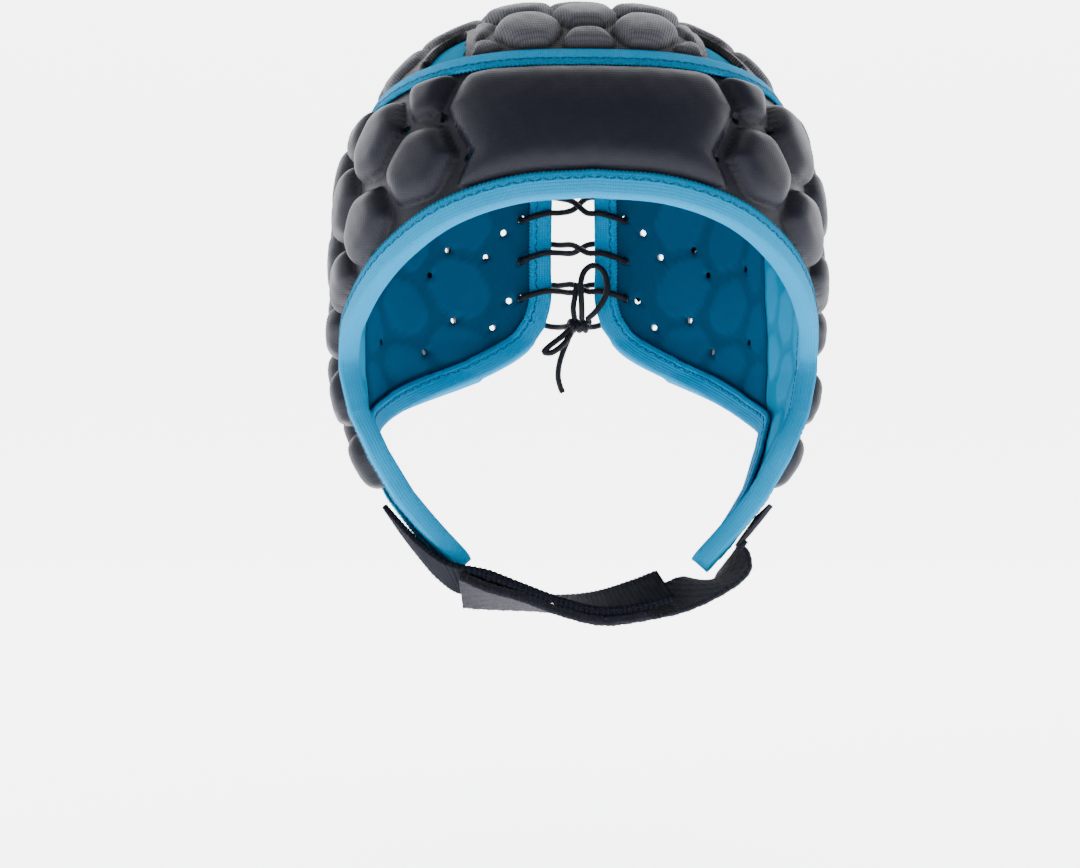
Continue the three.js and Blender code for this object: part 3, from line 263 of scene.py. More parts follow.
def head_point(angle, z):
    """Points of the head at angles in degrees and heights."""
    drop = -z
    rise = np.clip(np.abs((CROWN_TO_WIDEST - drop) / CROWN_TO_WIDEST), 0, 1)
    share = np.power(np.clip(1 - rise ** SQUARENESS, 0, 1), 1 / SQUARENESS)
    down = (drop - CROWN_TO_WIDEST) / WIDEST_TO_CHIN
    below = drop > CROWN_TO_WIDEST
    wide = HEAD_HALF_WIDTH * np.where(below, np.interp(down, JAW[:, 0], JAW[:, 1]), share)
    front = HEAD_FRONT * np.where(below, np.interp(down, JAW[:, 0], JAW[:, 2]), share)
    back = HEAD_BACK * np.where(below, np.interp(down, JAW[:, 0], JAW[:, 3]), share)
    turn = np.radians(angle)
    across = np.abs(np.sin(turn)) / wide
    along = np.abs(np.cos(turn)) / np.where(np.cos(turn) > 0, front, back)
    reach = np.power(across ** SQUARENESS + along ** SQUARENESS, -1 / SQUARENESS)
    return np.stack([reach * np.sin(turn), -reach * np.cos(turn), z + 0 * reach], -1)


def steps(line):
    return np.linalg.norm(np.diff(line, axis=0), axis=1)


def run_lengths(line):
    """How far along a line each of its points lies."""
    return np.concatenate([[0], np.cumsum(steps(line))])


DEGREES = np.arange(181.0)
GIRTH = run_lengths(head_point(DEGREES, np.full(181, -CROWN_TO_WIDEST)))


def length_at(angle):
    return np.interp(angle, DEGREES, GIRTH)


def wall_surface(u, v):
    """Side pattern: u is the length round the head, v the height."""
    nominal = np.interp(np.abs(u), GIRTH, DEGREES)
    share = np.clip((nominal - SEAM_ANGLE) / 39, 0, 1)
    shift = LACE_SHIFT * share * share * (3 - 2 * share)
    return head_point(np.sign(u) * nominal - shift, v)


def on_wall(line):
    return wall_surface(line[:, 0], line[:, 1])


def crown_surface(u, v):
    """Crown pattern: u to the side and v to the back, as lengths from straight up."""
    way = np.stack([np.tan(u / CROWN_RADIUS), np.tan(v / CROWN_RADIUS), 1 + 0 * u], -1)
    x = np.abs(way[..., 0]) / HEAD_HALF_WIDTH
    y = np.abs(way[..., 1]) / np.where(way[..., 1] < 0, HEAD_FRONT, HEAD_BACK)
    total = x ** SQUARENESS + y ** SQUARENESS + CROWN_TO_WIDEST ** -SQUARENESS
    point = way * np.power(total, -1 / SQUARENESS)[..., None]
    point[..., 2] -= CROWN_TO_WIDEST
    return point


def crown_pattern(point):
    rise = point[..., 2] + CROWN_TO_WIDEST
    return np.stack([CROWN_RADIUS * np.arctan(point[..., 0] / rise),
                     CROWN_RADIUS * np.arctan(point[..., 1] / rise)], -1)


def unit(vectors):
    return vectors / np.maximum(np.linalg.norm(vectors, axis=-1, keepdims=True), 1e-12)


def slopes(surface, u, v, step=0.4):
    along_u = (surface(u + step, v) - surface(u - step, v)) / (2 * step)
    along_v = (surface(u, v + step) - surface(u, v - step)) / (2 * step)
    return along_u, along_v


def lifted(surface, u, v, lift):
    """Pattern points raised off the head along its normal."""
    along_u, along_v = slopes(surface, u, v)
    normal = unit(np.cross(along_u, along_v))
    point = surface(u, v)
    outward = point + np.array([0, 0, CROWN_TO_WIDEST])
    normal = normal * np.where((normal * outward).sum(-1, keepdims=True) < 0, -1, 1)
    return point + normal * np.asarray(lift)[..., None]


def inwards(surface, u, v, tangent, distance):
    """Pattern points moved to the left of a line by real distances."""
    along_u, along_v = slopes(surface, u, v)
    along = along_u * tangent[..., :1] + along_v * tangent[..., 1:]
    way = unit(np.cross(np.cross(along_u, along_v), along))
    uu, vv = (along_u ** 2).sum(-1), (along_v ** 2).sum(-1)
    uv = (along_u * along_v).sum(-1)
    wu, wv = (way * along_u).sum(-1), (way * along_v).sum(-1)
    det = uu * vv - uv * uv
    return u + distance * (wu * vv - wv * uv) / det, v + distance * (wv * uu - wu * uv) / det


def smooth_line(points, count):
    """Centripetal curve through points, resampled evenly."""
    points = np.asarray(points, float)
    ends = np.concatenate([[2 * points[0] - points[1]], points, [2 * points[-1] - points[-2]]])
    found = []
    for i in range(1, len(ends) - 2):
        p0, p1, p2, p3 = ends[i - 1:i + 3]
        d0, d1, d2 = (max(np.linalg.norm(b - a) ** 0.5, 1e-4) for a, b in ((p0, p1), (p1, p2), (p2, p3)))
        m1 = ((p1 - p0) / d0 - (p2 - p0) / (d0 + d1) + (p2 - p1) / d1) * d1
        m2 = ((p2 - p1) / d1 - (p3 - p1) / (d1 + d2) + (p3 - p2) / d2) * d1
        t = np.linspace(0, 1, 24, endpoint=False)[:, None]
        found.append((2 * t ** 3 - 3 * t ** 2 + 1) * p1 + (t ** 3 - 2 * t ** 2 + t) * m1
                     + (3 * t ** 2 - 2 * t ** 3) * p2 + (t ** 3 - t ** 2) * m2)
    found.append(points[-1:])
    return resampled(np.concatenate(found), count)


def resampled(line, count):
    sums = run_lengths(line)
    at = np.linspace(0, sums[-1], count)
    return np.stack([np.interp(at, sums, line[:, k]) for k in range(line.shape[1])], -1)


def edge_line(rows, count):
    return smooth_line([(length_at(a), -d * CAP_DEPTH) for a, d in rows], count)


def angle_line(rows, start, end, count):
    """A table read at even angles, its kinks smoothed."""
    angles = np.linspace(start, end, count)
    table = np.array(rows, float)
    drops = np.interp(angles, table[:, 0], table[:, 1])
    wide = max(count // 14, 1)
    padded = np.concatenate([np.full(wide, drops[0]), drops, 2 * drops[-1] - drops[-2:-wide - 2:-1]])
    drops = np.convolve(padded, np.ones(2 * wide + 1) / (2 * wide + 1), "valid")
    return np.stack([length_at(angles), -drops * CAP_DEPTH], -1)


def mirrored(line):
    return line * np.array([-1, 1])


def whole(line):
    return np.concatenate([mirrored(line)[::-1], line[1:]])


def tangents(line):
    return np.gradient(line, axis=0)


def cap_lines():
    """The edges of the right half in pattern millimetres."""
    lines = {
        "top": angle_line(TOP_EDGE, 0, SEAM_ANGLE, 190),
        "seam": edge_line(SEAM_EDGE, 110),
        "rear": edge_line(FLAP_REAR_EDGE, 90),
        "nape": edge_line(NAPE_EDGE, 116),
        "lace": edge_line(LACE_EDGE, 64),
        "back_top": angle_line(BACK_TOP_EDGE, SEAM_ANGLE, 180 - LACE_HALF_GAP, 90),
    }
    lines["outer"] = np.concatenate([lines["top"], lines["seam"][1:], lines["rear"][1:]])
    curve = edge_line(FACE_EDGE, 2000)
    sums = run_lengths(lines["outer"])
    places = np.array(RIB_PLACES, float)
    shares = np.interp(sums / sums[-1], places[:, 0], places[:, 1])
    lines["face"] = np.stack([np.interp(shares * 1999, np.arange(2000), curve[:, k]) for k in (0, 1)], -1)
    lines["face_even"] = resampled(curve, 400)
    return lines


LINES = cap_lines()


# Building meshes

def deselect():
    if bpy.context.object and bpy.context.object.mode != "OBJECT":
        bpy.ops.object.mode_set(mode="OBJECT")
    bpy.ops.object.select_all(action="DESELECT")


def grid_piece(name, points, pattern, closed=False, attributes=None, gone=None):
    """A grid primitive laid over an array of points in millimetres, with the pattern as its UV map.

    pattern holds u and v in millimetres; one UV unit is 10 mm. gone marks points that are cut away.
    """
    deselect()
    columns, rows = points.shape[:2]
    bpy.ops.mesh.primitive_grid_add(x_subdivisions=columns - 1, y_subdivisions=rows - 1, size=1)
    piece = bpy.context.object
    piece.name = name
    piece.data.name = name
    mesh = piece.data
    flat = np.empty(len(mesh.vertices) * 3)
    mesh.vertices.foreach_get("co", flat)
    flat = flat.reshape(-1, 3)
    i = np.rint((flat[:, 0] + 0.5) * (columns - 1)).astype(int)
    j = np.rint((flat[:, 1] + 0.5) * (rows - 1)).astype(int)
    mesh.vertices.foreach_set("co", (points[i, j] * MM).ravel())
    corners = np.empty(len(mesh.loops), dtype=int)
    mesh.loops.foreach_get("vertex_index", corners)
    layer = mesh.uv_layers.active or mesh.uv_layers.new(name="UVMap")
    layer.data.foreach_set("uv", (pattern[i, j][corners] / 10).ravel())
    for key, values in (attributes or {}).items():
        mesh.attributes.new(key, "FLOAT", "POINT").data.foreach_set("value", values[i, j].ravel())
    mesh.update()
    if gone is not None and gone.any():
        mesh.vertices.foreach_set("select", gone[i, j].ravel())
        mesh.edges.foreach_set("select", np.zeros(len(mesh.edges), bool))
        mesh.polygons.foreach_set("select", np.zeros(len(mesh.polygons), bool))
        bpy.ops.object.mode_set(mode="EDIT")
        bpy.ops.mesh.select_mode(type="VERT")
        bpy.ops.mesh.delete(type="VERT")
        bpy.ops.object.mode_set(mode="OBJECT")
    if closed:
        bpy.ops.object.mode_set(mode="EDIT")
        bpy.ops.mesh.select_all(action="SELECT")
        bpy.ops.mesh.remove_doubles(threshold=1e-6)
        bpy.ops.mesh.select_all(action="DESELECT")
        bpy.ops.mesh.select_non_manifold(extend=False)
        bpy.ops.mesh.fill_holes(sides=0)
        bpy.ops.mesh.select_all(action="SELECT")
        bpy.ops.mesh.normals_make_consistent(inside=False)
        bpy.ops.object.mode_set(mode="OBJECT")
    bpy.ops.object.shade_smooth()
    return piece


def outwards(piece):
    """Turns an open sheet's faces away from the head."""
    mesh = piece.data
    normals = np.empty(len(mesh.polygons) * 3)
    centres = np.empty(len(mesh.polygons) * 3)
    mesh.polygons.foreach_get("normal", normals)
    mesh.polygons.foreach_get("center", centres)
    centres = centres.reshape(-1, 3) + np.array([0, 0, CROWN_TO_WIDEST * MM])
    if (normals.reshape(-1, 3) * centres).sum() < 0:
        mesh.flip_normals()


def thickened(piece, thickness, inwards_share, rim_only=False):
    """A wall, or just its rims, by a Solidify modifier that is applied."""
    modifier = piece.modifiers.new("Wall", "SOLIDIFY")
    modifier.thickness = thickness * MM
    modifier.offset = inwards_share
    modifier.use_rim_only = rim_only
    bpy.context.view_layer.objects.active = piece
    bpy.ops.object.modifier_apply(modifier=modifier.name)


def joined(name, pieces):
    deselect()
    for piece in pieces:
        piece.select_set(True)
    bpy.context.view_layer.objects.active = pieces[0]
    bpy.ops.object.join()
    pieces[0].name = name
    pieces[0].data.name = name
    return pieces[0]


def dress(piece, finish_name, slot, *nodes):
    """Gives a piece its finish and its place in the frame."""
    piece.data.materials.clear()
    piece.data.materials.append(finish(finish_name))
    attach(piece, "root")
    if nodes:
        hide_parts(*nodes)
    return piece


def punched(points, pattern, gone, surface, lift, centre, radius):
    """Opens a round hole at a grid point: its eight neighbours go on a circle, and it goes away."""
    u, v = centre
    along_u, along_v = (np.linalg.norm(s) for s in slopes(surface, np.array(u), np.array(v)))
    off = ((pattern[..., 0] - u) * along_u) ** 2 + ((pattern[..., 1] - v) * along_v) ** 2
    i, j = np.unravel_index(np.argmin(off), off.shape)
    if not (1 < i < off.shape[0] - 2 and 1 < j < off.shape[1] - 2):
        return
    place = pattern[i, j].copy()
    for di in (-1, 0, 1):
        for dj in (-1, 0, 1):
            if di or dj:
                way = pattern[i + di, j + dj] - place
                way = way * [along_u, along_v]
                way = way / max(np.linalg.norm(way), 1e-6) * radius
                spot = (u + way[0] / along_u, v + way[1] / along_v)
                pattern[i + di, j + dj] = spot
                points[i + di, j + dj] = lifted(surface, np.array(spot[0]), np.array(spot[1]),
                                                np.array(lift[i, j]))
    gone[i, j] = True


# Pads: how far each grid point lies inside its cell

def smallest(values, blend):
    """A rounded minimum over the first axis."""
    low = values.min(0)
    return low - blend * np.log(np.exp(-(values - low) / blend).sum(0))


def reach_of(points, surface, line):
    """Real distance from grid points to a line of pattern points, in millimetres."""
    target = surface(line[:, 0], line[:, 1])
    flat = points.reshape(-1, 3)
    found = np.empty(len(flat))
    for start in range(0, len(flat), 3000):
        part = flat[start:start + 3000]
        found[start:start + 3000] = np.sqrt(((part[:, None] - target[None]) ** 2).sum(-1).min(1))
    return found.reshape(points.shape[:2])


def inside(u, v, outline):
    odd = np.zeros(u.shape, bool)
    for (ax, ay), (bx, by) in zip(outline, np.roll(outline, -1, axis=0)):
        if ay == by:
            continue
        crosses = (ay > v) != (by > v)
        odd ^= crosses & (u < (bx - ax) * (v - ay) / (by - ay) + ax)
    return odd


def hexagon(middle, across, upwards, shear):
    side, half = across / 1.5, upwards / 2
    shape = [(side, 0), (side / 2, half), (-side / 2, half),
             (-side, 0), (-side / 2, -half), (side / 2, -half)]
    return np.array([(middle[0] + x, middle[1] + y - shear * x) for x, y in shape])


def closed_up(v):
    limit = -CHEEK_DROP * CAP_DEPTH
    return np.where(v < limit, limit + (v - limit) * CHEEK_SHRINK, v)


def side_cells(first, first_drop, columns):
    shear = COLUMN_DROP / COLUMN_PITCH
    for column in range(columns):
        u = first + column * COLUMN_PITCH
        offset = CELL_PITCH / 2 if column % 2 else 0
        for row in range(-6, 4):
            v = -first_drop * CAP_DEPTH - shear * (u - first) + offset + row * CELL_PITCH
            corners = hexagon((u, v), COLUMN_PITCH, CELL_PITCH, shear)
            corners[:, 1] = closed_up(corners[:, 1])
            yield corners


def crown_cells():
    for column in range(-3, 4):
        offset = CROWN_CELL_PITCH / 2 if column % 2 else 0
        for row in range(-4, 7):
            middle = (column * CROWN_COLUMN_PITCH,
                      CROWN_FIRST_ROW * math.radians(CROWN_RADIUS) + offset + row * CROWN_CELL_PITCH)
            yield hexagon(middle, CROWN_COLUMN_PITCH, CROWN_CELL_PITCH, 0), abs(column) > 1


def pad_rise(surface, u, v, corners, limit, groove, height, least, shoulder=SHOULDER):
    """Height of one cell's pad over the grid: 0 where there is none."""
    middle = corners.mean(0)
    wide, tall = (np.linalg.norm(s) for s in slopes(surface, np.array(middle[0]), np.array(middle[1])))
    near = (np.abs(u - middle[0]) < CELL_REACH) & (np.abs(v - middle[1]) < CELL_REACH)
    rise = np.zeros(u.shape)
    if not near.any():
        return rise
    x, y = (u[near] - middle[0]) * wide, (v[near] - middle[1]) * tall
    ring = (corners - middle) * [wide, tall]
    sides = [limit[near]]
    for (ax, ay), (bx, by) in zip(ring, np.roll(ring, -1, axis=0)):
        length = math.hypot(bx - ax, by - ay)
        sides.append(((bx - ax) * (y - ay) - (by - ay) * (x - ax)) / length - groove / 2)
    room = smallest(np.array(sides), 1.1)
    most = room.max()
    if most < least:
        return rise
    full = min(1.0, most / FULL_ROOM)
    shoulder = min(shoulder, 0.85 * most)
    t = np.clip(room / shoulder, 0, 1)
    dome = np.sin(np.clip(room / most, 0, 1) * math.pi / 2)
    round_up = np.sqrt(np.clip(1 - (1 - t) ** 2.3, 0, 1))
    rise[near] = np.where(room > 0, height * (0.45 + 0.55 * full) * (0.8 * round_up + 0.2 * dome), 0)
    return rise


def puckers(u, v, amount):
    """Small drawn folds of stretched cloth, in millimetres."""
    waves = (np.sin(u * 0.31 + 1.7 * np.sin(v * 0.13)) + np.sin(v * 0.27 + 1.3 * np.sin(u * 0.17 + 2))
             + 0.6 * np.sin(u * 0.71 + v * 0.53) + 0.4 * np.sin(v * 0.93 - u * 0.41))
    return waves * amount


# Materials

def add_node(tree, kind, inputs=None, **settings):
    """Adds a node, sets its properties, and sets or links its inputs."""
    made = tree.nodes.new(kind)
    for key, value in settings.items():
        setattr(made, key, value)
    for key, value in (inputs or {}).items():
        if isinstance(value, bpy.types.NodeSocket):
            tree.links.new(value, made.inputs[key])
        else:
            made.inputs[key].default_value = value
    return made


def calculated(tree, operation, first, second=0.5):
    return add_node(tree, "ShaderNodeMath", {0: first, 1: second}, operation=operation).outputs[0]


def cloth(name, colour, roughness, sheen, specular=0.08):
    """A cloth's material, its tree, and its pattern across and along, whose unit is 10 mm."""
    material = bpy.data.materials.new(name)
    material.use_nodes = True
    tree = material.node_tree
    surface = tree.nodes["Principled BSDF"]
    surface.inputs["Base Color"].default_value = (*colour, 1)
    surface.inputs["Roughness"].default_value = roughness
    surface.inputs["Sheen Weight"].default_value = sheen
    surface.inputs["Sheen Roughness"].default_value = 0.45
    surface.inputs["Specular IOR Level"].default_value = specular
    pattern = add_node(tree, "ShaderNodeUVMap", uv_map="UVMap")
    split = add_node(tree, "ShaderNodeSeparateXYZ", {0: pattern.outputs[0]})
    return material, tree, split.outputs[0], split.outputs[1]


def finished(material, shown, height=None, strength=0.0, distance=0.0):
    """Links a colour to a cloth's surface and, where a height is given, a bump."""
    tree = material.node_tree
    surface = tree.nodes["Principled BSDF"]
    tree.links.new(shown, surface.inputs["Base Color"])
    if height is not None:
        bump = add_node(tree, "ShaderNodeBump",
                        {"Strength": strength, "Distance": distance, "Height": height})
        tree.links.new(bump.outputs[0], surface.inputs["Normal"])
    return material


def shade_mask_from_rise(tree):
    """How high the pads stand at each point, from the mesh's own attribute: the cloths paint shade where it
    is low.
    """
    return add_node(tree, "ShaderNodeAttribute", attribute_name="rise").outputs["Fac"]


def wave(tree, coordinate, pitch_mm, power=1.0):
    """Rounded ridges of a real pitch across a coordinate whose unit is 10 mm, from 0 to 1."""
    sine = calculated(tree, "SINE", calculated(tree, "MULTIPLY", coordinate, math.pi * 10 / pitch_mm))
    return calculated(tree, "POWER", calculated(tree, "ABSOLUTE", sine), power)


def mixed(tree, share, low, high):
    made = add_node(tree, "ShaderNodeMix", data_type="RGBA")
    tree.links.new(share, made.inputs[0])
    for socket, colour in ((6, low), (7, high)):
        if isinstance(colour, bpy.types.NodeSocket):
            tree.links.new(colour, made.inputs[socket])
        else:
            made.inputs[socket].default_value = (*colour, 1)
    return made.outputs[2]


def scaled(colour, factor):
    return tuple(min(c * factor, 1) for c in colour)


def cloudy(tree, scale, detail=3.0, roughness=0.5):
    place = add_node(tree, "ShaderNodeTexCoord").outputs["Object"]
    return add_node(tree, "ShaderNodeTexNoise", {"Vector": place, "Scale": scale, "Detail": detail,
                                                 "Roughness": roughness}).outputs["Fac"]


def knit_cloth(colour):
    """Warp-knitted stretch cloth, moulded hot over foam: painted shade darkens it in the grooves and at the
    pads' feet.
    """
    material, tree, across, along = cloth("Warp knit over foam", colour, 0.5, 0.0, 0.14)
    # Stitch columns 0.9 mm apart: real ones are about 0.5 mm, drawn coarser so that they show
    weave = calculated(tree, "MULTIPLY", wave(tree, across, 0.9), wave(tree, along, 0.8))
    worn = mixed(tree, cloudy(tree, 38), scaled(colour, 0.82), scaled(colour, 1.22))
    # Painted shade: 0.8 of the colour where the pads stand low, in the grooves
    return finished(material, mixed(tree, shade_mask_from_rise(tree), scaled(colour, 0.8), worn), weave, 0.16, 0.0003)


def air_mesh(colour):
    """Ribbed warp-knitted air mesh: fine pale ribs over a dark ground, with painted shade in the grooves."""
    material, tree, across, along = cloth("Ribbed air mesh", colour, 0.55, 0.03, 0.1)
    # Ribs 1 mm apart run front to back, with faint holes between them
    weave = calculated(tree, "MULTIPLY", wave(tree, across, 1.0, 0.7), wave(tree, along, 1.3, 0.25))
    thread = mixed(tree, weave, scaled(colour, 0.4), scaled(colour, 1.5))
    # Painted shade: the grooves between the pads are drawn at 0.18 of the colour
    return finished(material, mixed(tree, shade_mask_from_rise(tree), scaled(colour, 0.18), thread), weave, 0.5, 0.0005)


def brushed_lining(colour):
    """Brushed nylon lining, bonded to the foam: matt, with the pads' outlines pressed into it and painted
    shade along them.
    """
    material, tree, across, _ = cloth("Brushed nylon lining", colour, 0.9, 0.0, 0.01)
    worn = mixed(tree, cloudy(tree, 30), scaled(colour, 0.88), scaled(colour, 1.1))
    # Painted shade: 0.78 of the colour along the pressed outlines, where the pads are low
    shown = mixed(tree, shade_mask_from_rise(tree), scaled(colour, 0.78), worn)
    return finished(material, shown, wave(tree, across, 0.7), 0.1, 0.0002)


def woven_tape(colour):
    """Woven polyamide binding tape: crosswise ribs on a bright, matt face."""
    material, tree, across, along = cloth("Woven polyamide tape", colour, 0.7, 0.0, 0.02)
    both = calculated(tree, "ADD", wave(tree, across, 0.75), wave(tree, along, 1.1))
    half = calculated(tree, "MULTIPLY", both, 0.5)
    thread = mixed(tree, half, scaled(colour, 0.72), scaled(colour, 1.12))
    worn = mixed(tree, cloudy(tree, 60), scaled(colour, 0.9), thread)
    # The outer leg is a deeper blue for about 2.6 mm beside its tip
    tip_band = add_node(tree, "ShaderNodeMapRange",
                        {0: along, 1: 0.22, 2: 0.3, 3: 1.0, 4: 0.0}).outputs[0]
    return finished(material, mixed(tree, tip_band, worn, scaled(colour, 0.62)), half, 0.6, 0.0003)


def braided_lace(colour):
    """Braided polyester over rubber: diagonal strands, with painted glints on their crests and painted shade
    between them.
    """
    material, tree, across, along = cloth("Braided elastic cord", colour, 0.5, 0.03)
    lean, back = (calculated(tree, way, across, along) for way in ("ADD", "SUBTRACT"))
    strands = calculated(tree, "MULTIPLY", wave(tree, lean, 1.1), wave(tree, back, 1.1))
    # Painted highlight and shade: 1.7 of the colour on the strands' crests, 0.5 between them
    return finished(material, mixed(tree, strands, scaled(colour, 0.5), scaled(colour, 1.7)),
                    strands, 0.6, 0.0003)


def elastic_webbing(colour):
    """Woven elastic: fine lengthwise yarns over modelled crosswise ribs, with painted shade in the ribs'
    hollows.
    """
    material, tree, _, along = cloth("Ribbed elastic webbing", colour, 0.85, 0.0, 0.03)
    yarns = wave(tree, along, 0.8)
    thread = mixed(tree, yarns, scaled(colour, 0.7), scaled(colour, 1.35))
    # Painted shade: 0.35 of the colour where the 'rise' attribute is low
    return finished(material, mixed(tree, shade_mask_from_rise(tree), scaled(colour, 0.35), thread), yarns, 0.4, 0.0003)


def loop_pile(colour):
    """Brushed loop pile: a matted, hairy face with no clear threads."""
    material, tree, _, _ = cloth("Brushed loop pile", colour, 0.95, 0.08)
    fibres = cloudy(tree, 1400.0, 4.0, 0.7)
    return finished(material, mixed(tree, fibres, scaled(colour, 0.35), scaled(colour, 1.8)),
                    fibres, 0.9, 0.0008)


def sewing_thread(colour):
    """Twisted polyester thread: fine flecks of light and dark."""
    material, tree, _, _ = cloth("Twisted polyester thread", colour, 0.5, 0.02)
    fleck = cloudy(tree, 900.0, 2.0)
    return finished(material, mixed(tree, fleck, scaled(colour, 0.6), scaled(colour, 1.3)))


def seamless_paper(colour):
    """Matt seamless backdrop paper, lit from within: almost white, with the faintest mottling."""
    material = bpy.data.materials.new("Seamless backdrop paper")
    material.use_nodes = True
    tree = material.node_tree
    surface = tree.nodes["Principled BSDF"]
    surface.inputs["Roughness"].default_value = 0.9
    surface.inputs["Emission Color"].default_value = (*colour, 1)
    surface.inputs["Emission Strength"].default_value = PAPER_GLOW
    return finished(material, mixed(tree, cloudy(tree, 2.0), scaled(colour, 0.985), colour))


FINISHES = {
    "knit": (knit_cloth, "knit"), "mesh": (air_mesh, "mesh"), "lining": (brushed_lining, "lining"),
    "back_lining": (brushed_lining, "back_lining"),
    "tape": (woven_tape, "tape"), "lace": (braided_lace, "lace"), "strap": (elastic_webbing, "strap"),
    "pile": (loop_pile, "strap"), "tab": (elastic_webbing, "tab"), "thread": (sewing_thread, "thread"),
    "dark_thread": (sewing_thread, "lace"),
}
_made = {}


def finish(name):
    """The material of that name, made once."""
    if name not in _made:
        maker, colour = FINISHES[name]
        _made[name] = maker(tuple(getattr(bpy.context.scene.scrum_cap_colours, colour)))
    return _made[name]


# Panels

def band_pattern(columns_step, rows):
    """Grid of the band in pattern millimetres, from the face edge to the outer edge."""
    face, outer = whole(LINES["face"])[::columns_step], whole(LINES["outer"])[::columns_step]
    share = np.linspace(0, 1, rows)[None, :, None]
    return face[:, None] * (1 - share) + outer[:, None] * share


def patch(bottom, top, left, right):
    """Grid between four edges: bottom and top run across, left and right run up."""
    s = np.linspace(0, 1, len(bottom))[:, None, None]
    t = np.linspace(0, 1, len(left))[None, :, None]
    ends = ((1 - s) * (1 - t) * bottom[0] + s * (1 - t) * bottom[-1]
            + (1 - s) * t * top[0] + s * t * top[-1])
    return (1 - t) * bottom[:, None] + t * top[:, None] + (1 - s) * left[None] + s * right[None] - ends


def back_pattern(side, columns, rows):
    """Grid of a back panel, from the seam to the lacing and from the nape up."""
    seam = LINES["seam"][::-1] + [SEAM_GAP, 0]
    left, right = resampled(seam, rows), resampled(LINES["lace"][::-1], rows)
    bottom, top = resampled(LINES["nape"], columns), resampled(LINES["back_top"], columns)
    bottom[0], top[0] = left[0], left[-1]
    return patch(bottom, top, left, right) * [side, 1]


def crown_grid_pattern(columns, rows):
    """Grid of the crown, side to side and front to back."""
    def beyond(line, distance):
        line = whole(line)
        u, v = inwards(wall_surface, line[:, 0], line[:, 1], tangents(line), distance)
        return crown_pattern(wall_surface(u, v))

    top = beyond(LINES["top"], TAPE_GAP + TAPE_THICK + SEAM_GAP)
    back = beyond(LINES["back_top"], -CROWN_LAP)
    half = len(LINES["back_top"])
    left_back, right_back = back[:half][::-1], back[half - 1:]
    cut = np.argmin(np.abs(np.linspace(0, SEAM_ANGLE, 190) - CROWN_CORNER_ANGLE))
    share = np.argmin(np.abs(np.linspace(SEAM_ANGLE, LACING_ANGLE, half) - CROWN_REAR_ANGLE))
    middle = len(LINES["top"]) - 1
    front = resampled(top[middle - cut:middle + cut + 1], columns)
    right = resampled(np.concatenate([top[middle + cut:], right_back[1:share + 1]]), rows)
    left = resampled(np.concatenate([top[:middle - cut + 1][::-1], left_back[1:share + 1]]), rows)
    rear = resampled(np.concatenate([left_back[share:], right_back[share:][::-1]]), columns)
    return patch(front, rear, left, right)


def forehead_room(u, v, points):
    """Room inside the forehead pad, in millimetres, below zero outside it."""
    def at_edge(rows, angle, distance):
        table = np.array(rows, float)
        a = np.array([angle - 1, angle, angle + 1], float)
        uu = length_at(a)
        vv = -np.interp(a, table[:, 0], table[:, 1]) * CAP_DEPTH
        way = np.array([uu[2] - uu[0], vv[2] - vv[0]])
        return inwards(wall_surface, uu[1], vv[1], way, distance)

    clear = TAPE_WIDTH + PAD_MARGIN
    corners = [at_edge(TOP_EDGE, FOREHEAD_SIDE[0][0], -clear)]
    corners += [(length_at(a), -d * CAP_DEPTH) for a, d in FOREHEAD_SIDE[1:-1]]
    corners.append(at_edge(FACE_EDGE, FOREHEAD_SIDE[-1][0], clear))
    corners = np.array([(float(a), float(b)) for a, b in corners])
    beyond = np.array([[corners[0, 0], 20], *corners, [corners[-1, 0], -150]])
    outline = np.concatenate([beyond, mirrored(beyond)[::-1]])
    within = inside(u, v, outline)
    side = reach_of(points, wall_surface, resampled(beyond, 700))
    side = np.minimum(side, reach_of(points, wall_surface, resampled(mirrored(beyond), 700)))
    return np.where(within, side, -side)


def cells_rise(u, v, cells, limit, sizes):
    """Heights of the side cells' pads over a grid, in millimetres."""
    rise = np.zeros(u.shape)
    groove, height = sizes.groove_width / MM, sizes.pad_height / MM
    for cell in cells:
        rise = np.maximum(rise, pad_rise(wall_surface, u, v, cell, limit, groove, height, LEAST_ROOM))
    return rise


def band_rise(pattern, points, sizes):
    """Pad heights of the band, in millimetres."""
    u, v = np.abs(pattern[..., 0]), pattern[..., 1]
    right = wall_surface(u, v)
    face, top, seam, rear = (reach_of(right, wall_surface, LINES[key])
                             for key in ("face_even", "top", "seam", "rear"))
    side = forehead_room(pattern[..., 0], v, points)
    clear = TAPE_WIDTH + PAD_MARGIN
    limit = smallest(np.array([
        face - clear, top - clear, seam - SEAM_MARGIN, rear - NAPE_TAPE_WIDTH - PAD_MARGIN,
        -side - FOREHEAD_MARGIN, v + LAST_PAD_DROP * CAP_DEPTH]), 0.8)
    rise = cells_rise(u, v, side_cells(FIRST_COLUMN, BAND_FIRST_DROP, 6), limit, sizes)
    room = smallest(np.array([face - clear, top - clear, side]), 1.6)
    t = np.clip(room / FOREHEAD_SHOULDER, 0, 1)
    tall = sizes.forehead_pad_height / MM
    pad = tall * (0.86 * np.sqrt(1 - (1 - t) ** 2.2) + 0.14 * np.clip(room / FOREHEAD_DOME, 0, 1))
    return np.maximum(rise, np.where(room > 0, pad, 0))


